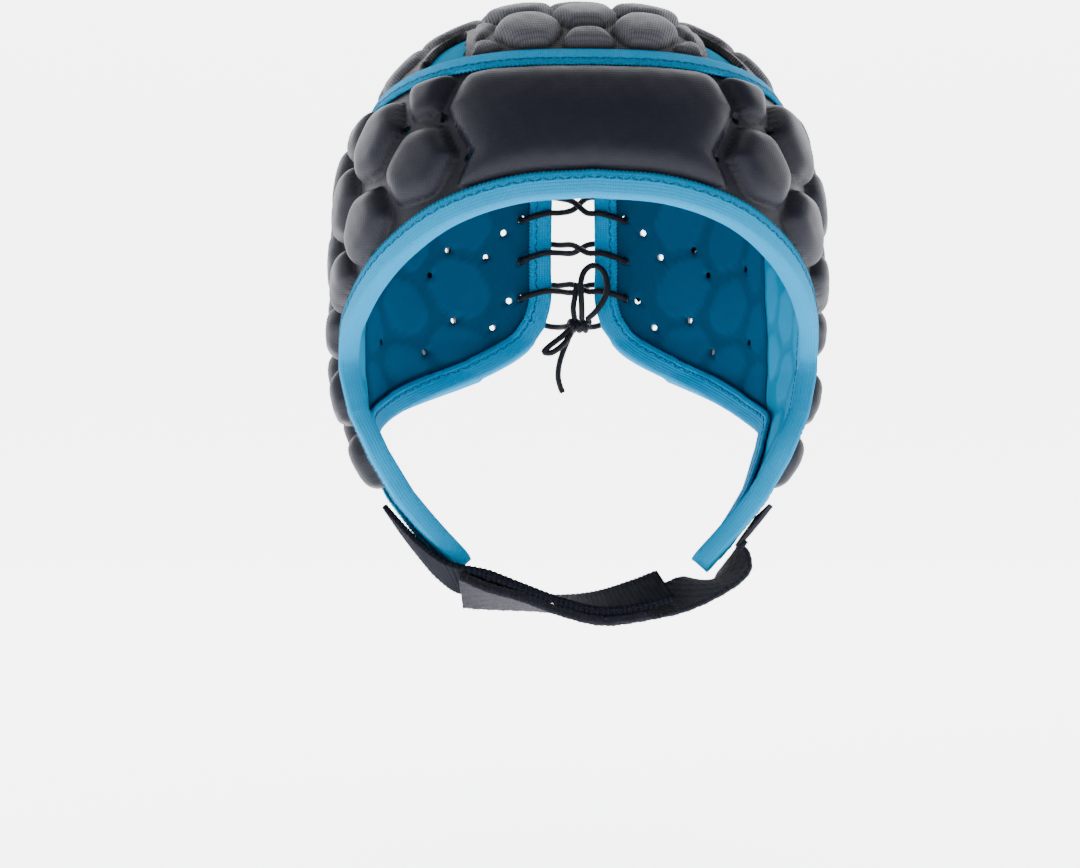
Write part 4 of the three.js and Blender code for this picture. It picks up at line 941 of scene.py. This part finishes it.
def back_rise(pattern, sizes):
    u, v = np.abs(pattern[..., 0]), pattern[..., 1]
    right = wall_surface(u, v)
    margins = {"seam": SEAM_MARGIN, "nape": NAPE_TAPE_WIDTH + PAD_MARGIN,
               "lace": LACE_HOLE_FROM_EDGE + LACE_HOLE_RADIUS + LACE_HOLE_MARGIN, "back_top": SEAM_MARGIN}
    limit = smallest(np.array([reach_of(right, wall_surface, LINES[key]) - margin
                               for key, margin in margins.items()]), 0.8)
    first = length_at(BACK_MIDDLE_ANGLE) - 2 * COLUMN_PITCH
    return cells_rise(u, v, side_cells(first, BACK_FIRST_DROP, 4), limit, sizes)


def slot_line(count):
    ring = np.array([(CROWN_RADIUS * math.radians(a), CROWN_RADIUS * math.radians(b)) for a, b in SLOT])
    closed = smooth_line(np.concatenate([ring[-1:], ring, ring[:2]]), 400)
    first = np.argmin(np.linalg.norm(closed - ring[0], axis=1)[:200])
    last = 200 + np.argmin(np.linalg.norm(closed[200:] - ring[0], axis=1))
    return resampled(closed[first:last + 1], count)


def crown_rise(pattern, points, sizes):
    u, v = pattern[..., 0], pattern[..., 1]
    rim = np.concatenate([pattern[:, 0], pattern[-1], pattern[::-1, -1], pattern[0, ::-1]])
    slots = [slot_line(120), mirrored(slot_line(120))]
    limit = np.minimum(reach_of(points, crown_surface, rim[::2]) - CROWN_RIM_MARGIN, 40)
    for line in slots:
        reach = reach_of(points, crown_surface, line)
        limit = np.minimum(limit, np.where(inside(u, v, line), -reach, reach) - SLOT_MARGIN)
    rise = np.zeros(u.shape)
    groove = sizes.groove_width / MM * CROWN_GROOVE_SHARE
    for cell, arm in crown_cells():
        tall = (sizes.arm_pad_height if arm else sizes.crown_pad_height) / MM
        rise = np.maximum(rise, pad_rise(crown_surface, u, v, cell, limit, groove, tall,
                                         LEAST_CROWN_ROOM, CROWN_SHOULDER))
    return rise


def sheet_piece(name, surface, pattern, lift, rise, vents=(), gone=None):
    """A cloth sheet over a surface, with its vents open; a vent is its place and its radius."""
    points = lifted(surface, pattern[..., 0], pattern[..., 1], lift)
    gone = np.zeros(lift.shape, bool) if gone is None else gone
    pattern = pattern.copy()
    for place, radius in vents:
        punched(points, pattern, gone, surface, lift, place, radius)
    # The 'rise' attribute is also the mask for the cloths' painted shade
    piece = grid_piece(name, points, pattern, attributes={"rise": np.clip(rise, 0, 1)}, gone=gone)
    outwards(piece)
    return piece


def panel_piece(name, surface, pattern, rise, tall, vents):
    """A padded panel: cloth over foam, with its rims turned in."""
    lift = FOAM_HIGH + rise + puckers(pattern[..., 0], pattern[..., 1], PANEL_PUCKERS)
    piece = sheet_piece(name, surface, pattern, lift, rise / (0.45 * tall), vents)
    thickened(piece, RIM_DEPTH, -1, rim_only=True)
    return piece


def lining_piece(name, surface, pattern, rise, tall, vents=()):
    """A lining sheet with the pads' outlines pressed into it."""
    imprint = IMPRINT - 0.55 * np.clip(rise / (0.5 * tall), 0, 1)
    lift = np.clip(imprint, 0, IMPRINT) + puckers(pattern[..., 0], pattern[..., 1], LINING_PUCKERS)
    piece = sheet_piece(name, surface, pattern, lift, rise / (0.4 * tall), vents)
    thickened(piece, LINING_WALL, 1)
    return piece


def vent_places(rows, sides=(1, -1)):
    return [((side * float(length_at(a)), -d * CAP_DEPTH), VENT_RADIUS) for a, d in rows for side in sides]


def lace_place(side, from_edge, drop):
    """Pattern point at a real distance from the lacing edge."""
    edge = float(length_at(180 - LACE_HALF_GAP))
    v = -drop * CAP_DEPTH
    wide = np.linalg.norm(slopes(wall_surface, np.array(side * edge), np.array(v))[0])
    return side * min(edge - from_edge / wide, float(length_at(180))), v


def lace_hole_places(side):
    return [(lace_place(side, LACE_HOLE_FROM_EDGE, hole), LACE_HOLE_RADIUS) for hole, _, _ in LACE_ROWS]


# Tapes, cords and straps

def tape_piece(name, line, width, side, sizes, beyond=0.0):
    """Woven tape folded over an edge: rounded back, two legs, and picot teeth along both."""
    length = steps(on_wall(line)).sum()
    pitch = sizes.picot_pitch / MM
    if beyond:
        line = np.concatenate([line[:1] + unit(line[:1] - line[3:4]) * beyond, line,
                               line[-1:] + unit(line[-1:] - line[-4:-3]) * beyond])
    count = int(length / pitch) * 4
    line = resampled(line, count)
    tangent = tangents(line)
    rounding = 1
    if beyond:
        from_end = np.minimum(np.arange(count), np.arange(count)[::-1]) * pitch / 4
        rounding = np.sqrt(np.clip(1 - (1 - np.clip(from_end / (0.7 * width), 0.02, 1)) ** 2, 0, 1))
    tooth = TAPE_TOOTH * np.abs(np.sin(np.arange(count) * math.pi / 4))
    mid, half = (TAPE_HIGH + TAPE_LOW) / 2, (TAPE_HIGH - TAPE_LOW) / 2
    out = -TAPE_GAP - TAPE_THICK
    legs = np.linspace(width, out + TAPE_FOLD, 6)[:-1]
    section = [(w, TAPE_HIGH, w == width) for w in legs]
    for turn in np.linspace(0, math.pi, 9):
        flat = np.sign(math.cos(turn)) * (abs(math.cos(turn)) > 0.2)
        section.append((out + TAPE_FOLD - TAPE_FOLD * math.sin(turn),
                        mid + (half - TAPE_FOLD) * flat + TAPE_FOLD * math.cos(turn), False))
    section += [(w, TAPE_LOW, w == width) for w in legs[::-1]]
    section += [(width + 0.1, TAPE_LOW + 0.45, True), (width, TAPE_LOW + TAPE_THICK, True),
                (0, TAPE_LOW + TAPE_THICK, False), (0, TAPE_HIGH - TAPE_THICK, False),
                (width, TAPE_HIGH - TAPE_THICK, True), (width + 0.1, TAPE_HIGH - 0.45, True)]
    section.append(section[0])
    around = run_lengths(np.array(section, float)[:, :2])
    along = run_lengths(on_wall(line))
    rings = np.empty((count, len(section), 3))
    pattern = np.empty((count, len(section), 2))
    for k, (distance, lift, tip) in enumerate(section):
        reach = side * (width / 2 + (distance - width / 2) * rounding + tooth * tip)
        u, v = inwards(wall_surface, line[:, 0], line[:, 1], tangent, reach)
        rings[:, k] = lifted(wall_surface, u, v, lift + 0 * u)
        pattern[:, k, 0] = along
        pattern[:, k, 1] = around[k]
    return grid_piece(name, rings, pattern, closed=True)


def taken(piece):
    """The points and faces of a small piece, which is then removed."""
    shape = np.array([v.co[:] for v in piece.data.vertices]), [list(p.vertices) for p in piece.data.polygons]
    bpy.data.objects.remove(piece)
    return shape


def stitch_shape():
    """One stitch: a short rounded bar along X, 1 long, made once and copied."""
    deselect()
    bpy.ops.mesh.primitive_cylinder_add(vertices=6, radius=0.16, depth=1.0, rotation=(0, math.pi / 2, 0))
    bar = bpy.context.object
    bpy.ops.object.transform_apply(location=True, rotation=True, scale=True)
    bpy.ops.object.mode_set(mode="EDIT")
    bpy.ops.mesh.select_all(action="SELECT")
    bpy.ops.mesh.bevel(offset=0.1, segments=1, affect="EDGES")
    bpy.ops.object.mode_set(mode="OBJECT")
    return taken(bar)


def copies_piece(name, shape, frames):
    """One mesh of many copies of a small shape. Each frame is origin and three axes, in millimetres."""
    points, faces = shape
    all_points, all_faces = [], []
    for origin, x, y, z in frames:
        base = len(all_points) * len(points)
        all_points.append(origin + points[:, :1] * x + points[:, 1:2] * y + points[:, 2:] * z)
        all_faces += [[base + n for n in face] for face in faces]
    mesh = bpy.data.meshes.new(name)
    mesh.from_pydata((np.concatenate(all_points) * MM).tolist(), [], all_faces)
    mesh.uv_layers.new(name="UVMap")
    piece = bpy.data.objects.new(name, mesh)
    bpy.context.scene.collection.objects.link(piece)
    deselect()
    piece.select_set(True)
    bpy.context.view_layer.objects.active = piece
    bpy.ops.object.shade_smooth()
    return piece


def stitch_frames(line, distance, side, pitch, lift, zigzag):
    """Places of stitches along an edge, on the tape's outer or inner face."""
    spots = resampled(line, int(steps(on_wall(line)).sum() / pitch))[1:-1]
    way = tangents(spots)
    frames = []
    for k in range(len(spots) - 1):
        reach = [distance + zigzag * (1 if (k + n) % 2 else -1) for n in (0, 1)]
        ends = []
        for n in (0, 1):
            u, v = inwards(wall_surface, spots[k + n, 0], spots[k + n, 1], way[k + n], side * reach[n])
            ends.append(lifted(wall_surface, u, v, np.array(lift)))
            if n == 0:
                normal = unit(lifted(wall_surface, u, v, np.array(lift + 1.0)) - ends[0])
        x = ends[1] - ends[0]
        y = unit(np.cross(normal, x)) * 1.5
        frames.append(((ends[0] + ends[1]) / 2, x * 0.8, y, normal * 1.5))
    return frames


def tube_rings(points, radius, sides, count):
    """Rings of a round tube along a smooth line, turned as little as possible, with their pattern."""
    line = smooth_line(points, count)
    way = unit(tangents(line))
    side = unit(np.cross(way[0], [0.3, 0.2, 1]))
    rings = np.empty((count, sides + 1, 3))
    turn = np.linspace(0, 2 * math.pi, sides + 1)
    for k in range(count):
        side = unit(side - way[k] * (side @ way[k]))
        other = np.cross(way[k], side)
        rings[k] = line[k] + radius * (np.cos(turn)[:, None] * side + np.sin(turn)[:, None] * other)
    pattern = np.stack(np.broadcast_arrays(run_lengths(line)[:, None], turn[None] * radius), -1).copy()
    rings[:, -1] = rings[:, 0]
    return line, rings, pattern


def cord_piece(name, points, radius, per_mm=2.2, sides=12):
    """A length of lace with rounded ends."""
    points = np.asarray(points, float)
    count = max(int(steps(smooth_line(points, 300)).sum() * per_mm), 12)
    line, rings, pattern = tube_rings(points, radius, sides, count)
    for end in (0, -1):
        rings[end] = line[end] + (rings[end] - line[end]) * 0.7
    return line, grid_piece(name, rings, pattern, closed=True)


def lace_point(side, from_edge, drop, lift):
    u, v = lace_place(side, from_edge, drop)
    return lifted(wall_surface, np.array(u), np.array(v), np.array(float(lift)))


def lace_route():
    """The one lace, from the knot through every hole to the top bar and down again, in millimetres."""
    low = TAPE_LOW - LACE_GAP - LACE_RADIUS
    high = TAPE_HIGH + LACE_GAP + LACE_RADIUS
    edge_out = TAPE_LOW - 2.5 * LACE_GAP - LACE_RADIUS
    knot = np.array(KNOT_MIDDLE) / MM

    def half(side):
        points = []
        for i, (hole, into, over) in enumerate(LACE_ROWS):
            points += [lace_point(side, *place) for place in (
                (LACE_HOLE_FROM_EDGE - 2, into * 0.3 + hole * 0.7, low),
                (LACE_HOLE_FROM_EDGE, hole, low + LACE_RADIUS),
                (LACE_HOLE_FROM_EDGE, hole, high - LACE_RADIUS),
                (LACE_HOLE_FROM_EDGE - 2, hole * 0.75 + over * 0.25, high + 0.2),
                (1, over * 0.9 + hole * 0.1, high + 0.2),
                (edge_out, over, high - 1))]
            if i + 1 < len(LACE_ROWS):
                following = LACE_ROWS[i + 1][1]
                middle = (over + following) / 2 + side * 1.6 / CAP_DEPTH
                points.append(lace_point(side, -12, middle, (low + high) / 2))
                side = -side
                points += [lace_point(side, edge_out, following, low + 1),
                           lace_point(side, 1, following, low - 0.2)]
        points.append(knot + [side * KNOT_SIZE[0] / MM * 0.7, KNOT_SIZE[1] / MM + 0.1, 0])
        return points

    top = lace_point(1, -12, LACE_ROWS[0][0], low)
    return half(1)[::-1] + [top] + half(-1)


def strap_frames(rows, side, thickness, gap, count):
    """Middles, across and up directions along a strap, in millimetres."""
    middles, outward = [], []
    for row in rows:
        if row[0] == "on":
            lift = TAPE_HIGH + STRAP_LIFT + gap + thickness / 2
            u, v = np.array(side * float(length_at(row[1]))), np.array(-row[2] * CAP_DEPTH)
            middle = lifted(wall_surface, u, v, np.array(lift))
            outward.append(unit(lifted(wall_surface, u, v, np.array(lift + 1)) - middle))
            middles.append(middle)
        else:
            outward.append(None)
            middles.append(np.array([row[1] * HEAD_HALF_WIDTH, -row[2] * HEAD_FRONT, -row[3] * CAP_DEPTH]))
    middles = np.array(middles)
    across = []
    for row, out, way in zip(rows, outward, unit(tangents(middles))):
        level = unit(np.array([-way[1], way[0], 0]))
        if out is not None:
            flat = unit(np.cross(out, way))
            across.append(flat if flat @ level > 0 else -flat)
        else:
            tilt = math.radians(row[4])
            across.append(level * math.cos(tilt) + np.cross(way, level) * math.sin(tilt))
    both = smooth_line(np.concatenate([middles, np.array(across) * 8], 1), count)
    middle = both[:, :3]
    way = unit(tangents(middle))
    up = unit(np.cross(way, both[:, 3:]))
    return middle, np.cross(up, way), up, way


def strap_piece(name, rows, side, width, thickness, gap, relief):
    """Flat webbing with rounded edges, and its run; relief gives its surface's rise and its painted shade,
    low in hollows.
    """
    count = 430
    middle, across, up, way = strap_frames(rows, side, thickness, gap, count)
    along = run_lengths(middle)
    flat = np.linspace(-1, 1, 26)
    half, thick = width / 2, thickness / 2
    section = [(half * x, thick, x) for x in flat * 0.97] + [(half, 0, 1)]
    section += [(half * x, -thick, x) for x in flat[::-1] * 0.97] + [(-half, 0, -1)]
    section.append(section[0])
    rings = np.empty((count, len(section), 3))
    pattern = np.empty((count, len(section), 2))
    shade = np.empty((count, len(section)))
    for k, (a, b, x) in enumerate(section):
        rise, dark = relief(along, x)
        a_out = a + np.sign(a) * np.where(abs(x) > 0.9, rise * 0.8, 0)
        rings[:, k] = middle + across * a_out[:, None] + up * (b + np.sign(b) * rise)[:, None]
        pattern[:, k, 0] = along
        pattern[:, k, 1] = a + (40 if b < 0 else 0)
        shade[:, k] = dark
    for end in (0, -1):
        centre = rings[end].mean(0)
        rings[end] = centre + (rings[end] - centre) * 0.985
    # Here the 'rise' attribute carries the painted shade, not a height
    piece = grid_piece(name, rings, pattern, closed=True, attributes={"rise": shade})
    return piece, (middle, across, up, way)


class PieceOperator:
    """Shared by the operators that make pieces."""
    bl_options = {"REGISTER", "UNDO"}

    def execute(self, context):
        self.build(context.scene.scrum_cap_sizes)
        return {"FINISHED"}


class SCRUMCAP_OT_camera(PieceOperator, bpy.types.Operator):
    """Adds the camera at the photograph's place"""
    bl_idname = "scrumcap.camera"
    bl_label = "Camera"

    def build(self, sizes):
        deselect()
        bpy.ops.object.camera_add(location=EYE, rotation=(math.radians(90), 0, math.radians(CAMERA_TURN)))
        camera = bpy.context.object
        camera.name = "camera"
        camera.data.lens = LENS
        camera.data.sensor_width = 36
        camera.data.clip_start = 0.01
        bpy.context.scene.camera = camera


class SCRUMCAP_OT_lace_ends(PieceOperator, bpy.types.Operator):
    """Makes the knot, the bow's loop and the free end of the lace"""
    bl_idname = "scrumcap.lace_ends"
    bl_label = "Knot, loop and free end of the lace"

    def build(self, sizes):
        knot = self.knot()
        for node, points, far_end in (("lace_bow", LACE_BOW, "object"), ("lace_tail", LACE_TAIL, "bare")):
            line, piece = cord_piece(node + "_cord", np.array(points) / MM, LACE_RADIUS)
            dress(piece, "lace", "lace_cord", node)
            path = [tuple(p) for p in line * MM]
            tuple(path[0])
            float(steps(line * MM).sum())

    def knot(self):
        middle = np.array(KNOT_MIDDLE) / MM
        turn = np.linspace(0, 2 * math.pi * 3.4, 60)
        wraps = np.stack([np.linspace(-4.2, 4.2, 60), 1.9 * np.cos(turn), 1.9 * np.sin(turn)], -1) + middle
        slant = [middle + p for p in ((-4.4, -0.6, -1.6), (-2, -1.6, -1.2), (1, -2.1, 0.2), (3.6, -1.2, 1.6),
                                      (4.6, 0.3, 1.4))]
        pieces = [cord_piece("knot_wraps", wraps, LACE_RADIUS)[1], cord_piece("knot_slant", slant, 1.1)[1],
                  cord_piece("short_end", np.array(SHORT_END_UP) / MM, LACE_RADIUS)[1],
                  cord_piece("short_loop", np.array(SHORT_LOOP_DOWN) / MM, LACE_RADIUS)[1]]
        return dress(joined("lace_knot_cord", pieces), "lace", "lace_cord", "lace_knot")


class SCRUMCAP_OT_front_band(PieceOperator, bpy.types.Operator):
    """Makes the padded front band with its forehead pad and side cells"""
    bl_idname = "scrumcap.front_band"
    bl_label = "Front band"

    def build(self, sizes):
        pattern = band_pattern(1, 96)
        points = wall_surface(pattern[..., 0], pattern[..., 1])
        rise = band_rise(pattern, points, sizes)
        vents = vent_places(BROW_VENTS)
        tall = sizes.pad_height / MM
        piece = panel_piece("front_band_cloth", wall_surface, pattern, rise, tall, vents)
        dress(piece, "knit", "cloth_over_foam", "front_band")
        lining = lining_piece("band_lining_cloth", wall_surface, pattern[::2, ::2], rise[::2, ::2],
                              tall, vents)
        dress(lining, "lining", "lining_cloth", "band_lining")


class SCRUMCAP_OT_back_panels(PieceOperator, bpy.types.Operator):
    """Makes the two padded back panels and their linings"""
    bl_idname = "scrumcap.back_panels"
    bl_label = "Back panels"

    def build(self, sizes):
        for side, end in ((-1, "left"), (1, "right")):
            pattern = back_pattern(side, 112, 112)
            rise = back_rise(pattern, sizes)
            vents = vent_places(BACK_VENTS, (side,)) + lace_hole_places(side)
            tall = sizes.pad_height / MM
            piece = panel_piece(f"back_panel_{end}_cloth", wall_surface, pattern, rise, tall, vents)
            dress(piece, "knit", "cloth_over_foam", f"back_panel_{end}")
            lining = lining_piece(f"back_lining_{end}_cloth", wall_surface, pattern[::2, ::2], rise[::2, ::2],
                                  tall, vents)
            # The back lining's darker colour is painted shade
            dress(lining, "back_lining", "lining_cloth", f"back_lining_{end}")


class SCRUMCAP_OT_crown(PieceOperator, bpy.types.Operator):
    """Makes the mesh crown with its pads and two slots, and its lining"""
    bl_idname = "scrumcap.crown"
    bl_label = "Crown"

    def build(self, sizes):
        pattern = crown_grid_pattern(170, 170)
        points = crown_surface(pattern[..., 0], pattern[..., 1])
        rise = crown_rise(pattern, points, sizes)
        lift = FOAM_HIGH + rise + puckers(pattern[..., 0], pattern[..., 1], PANEL_PUCKERS)
        gone = np.zeros(rise.shape, bool)
        shown = pattern.copy()
        for line in (slot_line(240), mirrored(slot_line(240))):
            within = inside(pattern[..., 0], pattern[..., 1], line)
            edge = np.zeros(within.shape, bool)
            for shift in ((a, b) for a in (-1, 0, 1) for b in (-1, 0, 1)):
                edge |= within & np.roll(~within, shift, (0, 1))
            # The slot's rim takes its points from the slot's own line
            for i, j in zip(*np.nonzero(edge)):
                shown[i, j] = line[np.argmin(((line - pattern[i, j]) ** 2).sum(1))]
            gone |= within & ~edge
        tall = sizes.crown_pad_height / MM
        piece = sheet_piece("crown_cloth", crown_surface, shown, lift, rise / (0.4 * tall), gone=gone)
        thickened(piece, RIM_DEPTH, -1, rim_only=True)
        dress(piece, "mesh", "crown_mesh", "crown_panel")
        lining = lining_piece("crown_lining_cloth", crown_surface, pattern[::2, ::2], rise[::2, ::2], tall)
        dress(lining, "lining", "lining_cloth", "crown_lining")


class SCRUMCAP_OT_seams(PieceOperator, bpy.types.Operator):
    """Sews the crown to the back panels, and the band to them, with rows of flatlock stitches"""
    bl_idname = "scrumcap.seams"
    bl_label = "Flatlock seams"

    def build(self, sizes):
        shape = stitch_shape()
        frames = []
        for turn in (np.array([1, 1]), np.array([-1, 1])):
            for key, beside in (("back_top", 0.0), ("seam", 0.3)):
                frames += stitch_frames(LINES[key] * turn, beside, 1, FLATLOCK_PITCH, FOAM_HIGH + 0.1,
                                        FLATLOCK_ZIGZAG)
        dress(copies_piece("flatlock_stitches", shape, frames), "dark_thread", "cloth_over_foam")


class SCRUMCAP_OT_tapes(PieceOperator, bpy.types.Operator):
    """Makes the edge tapes with their teeth and stitches"""
    bl_idname = "scrumcap.tapes"
    bl_label = "Edge tapes"

    def build(self, sizes):
        nape = np.concatenate([LINES["rear"][::-1], LINES["nape"][1:], LINES["lace"][::-1][1:]])
        runs = [("face_binding", whole(LINES["face_even"]), TAPE_WIDTH, 1),
                ("top_binding", whole(LINES["top"]), TAPE_WIDTH, -1),
                ("nape_binding_left", mirrored(nape), NAPE_TAPE_WIDTH, -1),
                ("nape_binding_right", nape, NAPE_TAPE_WIDTH, 1)]
        shape = stitch_shape()
        for node, line, width, side in runs:
            beyond = TAPE_BEYOND if node == "face_binding" else 0.0
            tape = tape_piece(node + "_tape", line, width, side, sizes, beyond)
            dress(tape, "tape", "edge_tape", node)
            frames = []
            for lift in (TAPE_HIGH + 0.02, TAPE_LOW - 0.02):
                frames += stitch_frames(line, width * STITCH_AT, side, sizes.stitch_pitch / MM, lift,
                                        STITCH_ZIGZAG)
            dress(copies_piece(node + "_stitches", shape, frames), "thread", "edge_tape")


class SCRUMCAP_OT_lace(PieceOperator, bpy.types.Operator):
    """Makes the lace through its holes"""
    bl_idname = "scrumcap.lace"
    bl_label = "Lace"

    def build(self, sizes):
        _, lace = cord_piece("lace_strands", lace_route(), LACE_RADIUS)
        dress(lace, "lace", "lace_cord", "lace")


class SCRUMCAP_OT_strap(PieceOperator, bpy.types.Operator):
    """Makes the two layers of the chin strap, their pile and hairs, and the grey tab"""
    bl_idname = "scrumcap.strap"
    bl_label = "Chin strap"

    def build(self, sizes):
        pitch = sizes.rib_pitch / MM

        def ribbed(along, _):
            # The second value is painted shade: low in the ribs' hollows, high on their crests
            rib = np.abs(np.sin(along * math.pi / pitch))
            hooks = np.clip((along / along[-1] - 0.36) * 14, 0, 1)
            return -0.28 + 0.28 * rib + 0.55 * hooks, rib

        def smooth(along, x):
            pile = 0.14 * np.sin(along * 2.3 + 5 * x) * np.sin(along * 1.1 - 9 * x)
            brushed = np.clip((0.62 - along / along[-1]) * 14, 0, 1)
            return -0.12 + pile + 0.7 * brushed, 0.8 * np.ones(along.shape)

        def flat(along, _):
            return -0.05 + 0 * along, np.ones(along.shape)

        shape = (STRAP_WIDTH, STRAP_THICK, STRAP_GAP)
        inner, inner_run = strap_piece("strap_inner", INNER_STRAP, -1, *shape, ribbed)
        outer, outer_run = strap_piece("strap_outer", OUTER_STRAP, 1, *shape, smooth)
        tab, _ = strap_piece("strap_tab_webbing", STRAP_TAB, 1, TAB_WIDTH, TAB_THICK, TAB_GAP, flat)
        dress(inner, "strap", "strap_webbing", "chin_strap_left")
        dress(outer, "pile", "strap_webbing", "chin_strap_right")
        dress(tab, "tab", "strap_tab_cloth", "strap_tab")
        frames = hair_frames(outer_run, sizes.hair_count // 2, 0.0, 0.62, 5)
        frames += hair_frames(inner_run, sizes.hair_count // 2, 0.42, 0.98, 6)
        deselect()
        bpy.ops.mesh.primitive_cone_add(vertices=3, radius1=1, radius2=0.3, depth=1, location=(0, 0, 0.5))
        bpy.ops.object.transform_apply(location=True, rotation=True, scale=True)
        hairs = copies_piece("strap_hairs", taken(bpy.context.object), frames)
        dress(hairs, "dark_thread", "strap_webbing")


def hair_frames(run, count, start, end, seed):
    """Loose fibres along both edges of a strap."""
    middle, across, up, way = run
    chance = np.random.default_rng(seed)
    frames = []
    for _ in range(count):
        k = int((start + (end - start) * chance.random()) * (len(middle) - 1))
        side = 1 if chance.random() < 0.5 else -1
        origin = middle[k] + across[k] * side * STRAP_WIDTH / 2 + up[k] * chance.uniform(-0.8, 0.8)
        z = unit(across[k] * side + up[k] * chance.normal(0, 0.7) + way[k] * chance.normal(0, 0.8))
        z = z * chance.uniform(0.5, 1.9)
        x = unit(np.cross(z, [0.3, 0.5, 0.8])) * HAIR_RADIUS
        frames.append((origin, x, unit(np.cross(z, x)) * HAIR_RADIUS, z))
    return frames


class SCRUMCAP_OT_stage(PieceOperator, bpy.types.Operator):
    """Adds the pale floor and backdrop, and the soft lights"""
    bl_idname = "scrumcap.stage"
    bl_label = "Stage"

    def build(self, sizes):
        deselect()
        bpy.ops.mesh.primitive_plane_add(size=1)
        floor = bpy.context.object
        floor.name = "backdrop"
        bpy.ops.object.mode_set(mode="EDIT")
        bpy.ops.mesh.select_all(action="SELECT")
        bpy.ops.transform.resize(value=FLOOR_SIZE)
        bpy.ops.transform.translate(value=FLOOR_MIDDLE)
        bpy.ops.object.mode_set(mode="OBJECT")
        for edge in floor.data.edges:
            edge.select = all(floor.data.vertices[n].co.y > 2 for n in edge.vertices)
        for vertex in floor.data.vertices:
            vertex.select = vertex.co.y > 2
        for face in floor.data.polygons:
            face.select = False
        bpy.ops.object.mode_set(mode="EDIT")
        bpy.ops.mesh.select_mode(type="EDGE")
        bpy.ops.mesh.extrude_region_move(TRANSFORM_OT_translate={"value": (0, 0, WALL_HEIGHT)})
        bpy.ops.object.mode_set(mode="OBJECT")
        bend = floor.modifiers.new("Cove", "BEVEL")
        bend.width = COVE_WIDTH
        bend.segments = 16
        bend.limit_method = "ANGLE"
        bpy.ops.object.modifier_apply(modifier=bend.name)
        bpy.ops.object.shade_smooth()
        floor.data.materials.append(seamless_paper(linear("#f6f6fa")))
        for name, place, size, power in LIGHTS:
            bpy.ops.object.light_add(type="AREA", location=place)
            light = bpy.context.object
            light.name = name + "_light"
            light.data.size = size
            light.data.energy = power
            aim = Vector(LIGHT_AIM) - Vector(place)
            light.rotation_euler = aim.to_track_quat("-Z", "Y").to_euler()
        world = bpy.context.scene.world or bpy.data.worlds.new("World")
        bpy.context.scene.world = world
        world.use_nodes = True
        background = world.node_tree.nodes["Background"]
        background.inputs["Color"].default_value = (0.97, 0.98, 1.0, 1)
        background.inputs["Strength"].default_value = 0.3


OPERATORS = (SCRUMCAP_OT_camera, SCRUMCAP_OT_lace_ends, SCRUMCAP_OT_front_band, SCRUMCAP_OT_back_panels,
             SCRUMCAP_OT_crown, SCRUMCAP_OT_seams, SCRUMCAP_OT_tapes, SCRUMCAP_OT_lace, SCRUMCAP_OT_strap,
             SCRUMCAP_OT_stage)


class SCRUMCAP_PT_panel(bpy.types.Panel):
    """Lists the cap's sizes, colours and pieces"""
    bl_idname = "SCRUMCAP_PT_panel"
    bl_label = "Scrum cap"
    bl_space_type = "VIEW_3D"
    bl_region_type = "UI"
    bl_category = "Scrum cap"

    def draw(self, context):
        for group in (context.scene.scrum_cap_sizes, context.scene.scrum_cap_colours):
            box = self.layout.box()
            for key in group.__annotations__:
                box.prop(group, key)
        for operator in OPERATORS:
            self.layout.operator(operator.bl_idname)


CLASSES = (ScrumCapSizes, ScrumCapColours, *OPERATORS, SCRUMCAP_PT_panel)


def register():
    for item in CLASSES:
        bpy.utils.register_class(item)
    bpy.types.Scene.scrum_cap_sizes = bpy.props.PointerProperty(type=ScrumCapSizes)
    bpy.types.Scene.scrum_cap_colours = bpy.props.PointerProperty(type=ScrumCapColours)


def unregister():
    del bpy.types.Scene.scrum_cap_sizes
    del bpy.types.Scene.scrum_cap_colours
    for item in reversed(CLASSES):
        bpy.utils.unregister_class(item)


def main():
    """Builds every piece in order."""
    register()
    for operator in OPERATORS:
        group, name = operator.bl_idname.split(".")
        getattr(getattr(bpy.ops, group), name)()


if __name__ == "__main__":
    main()
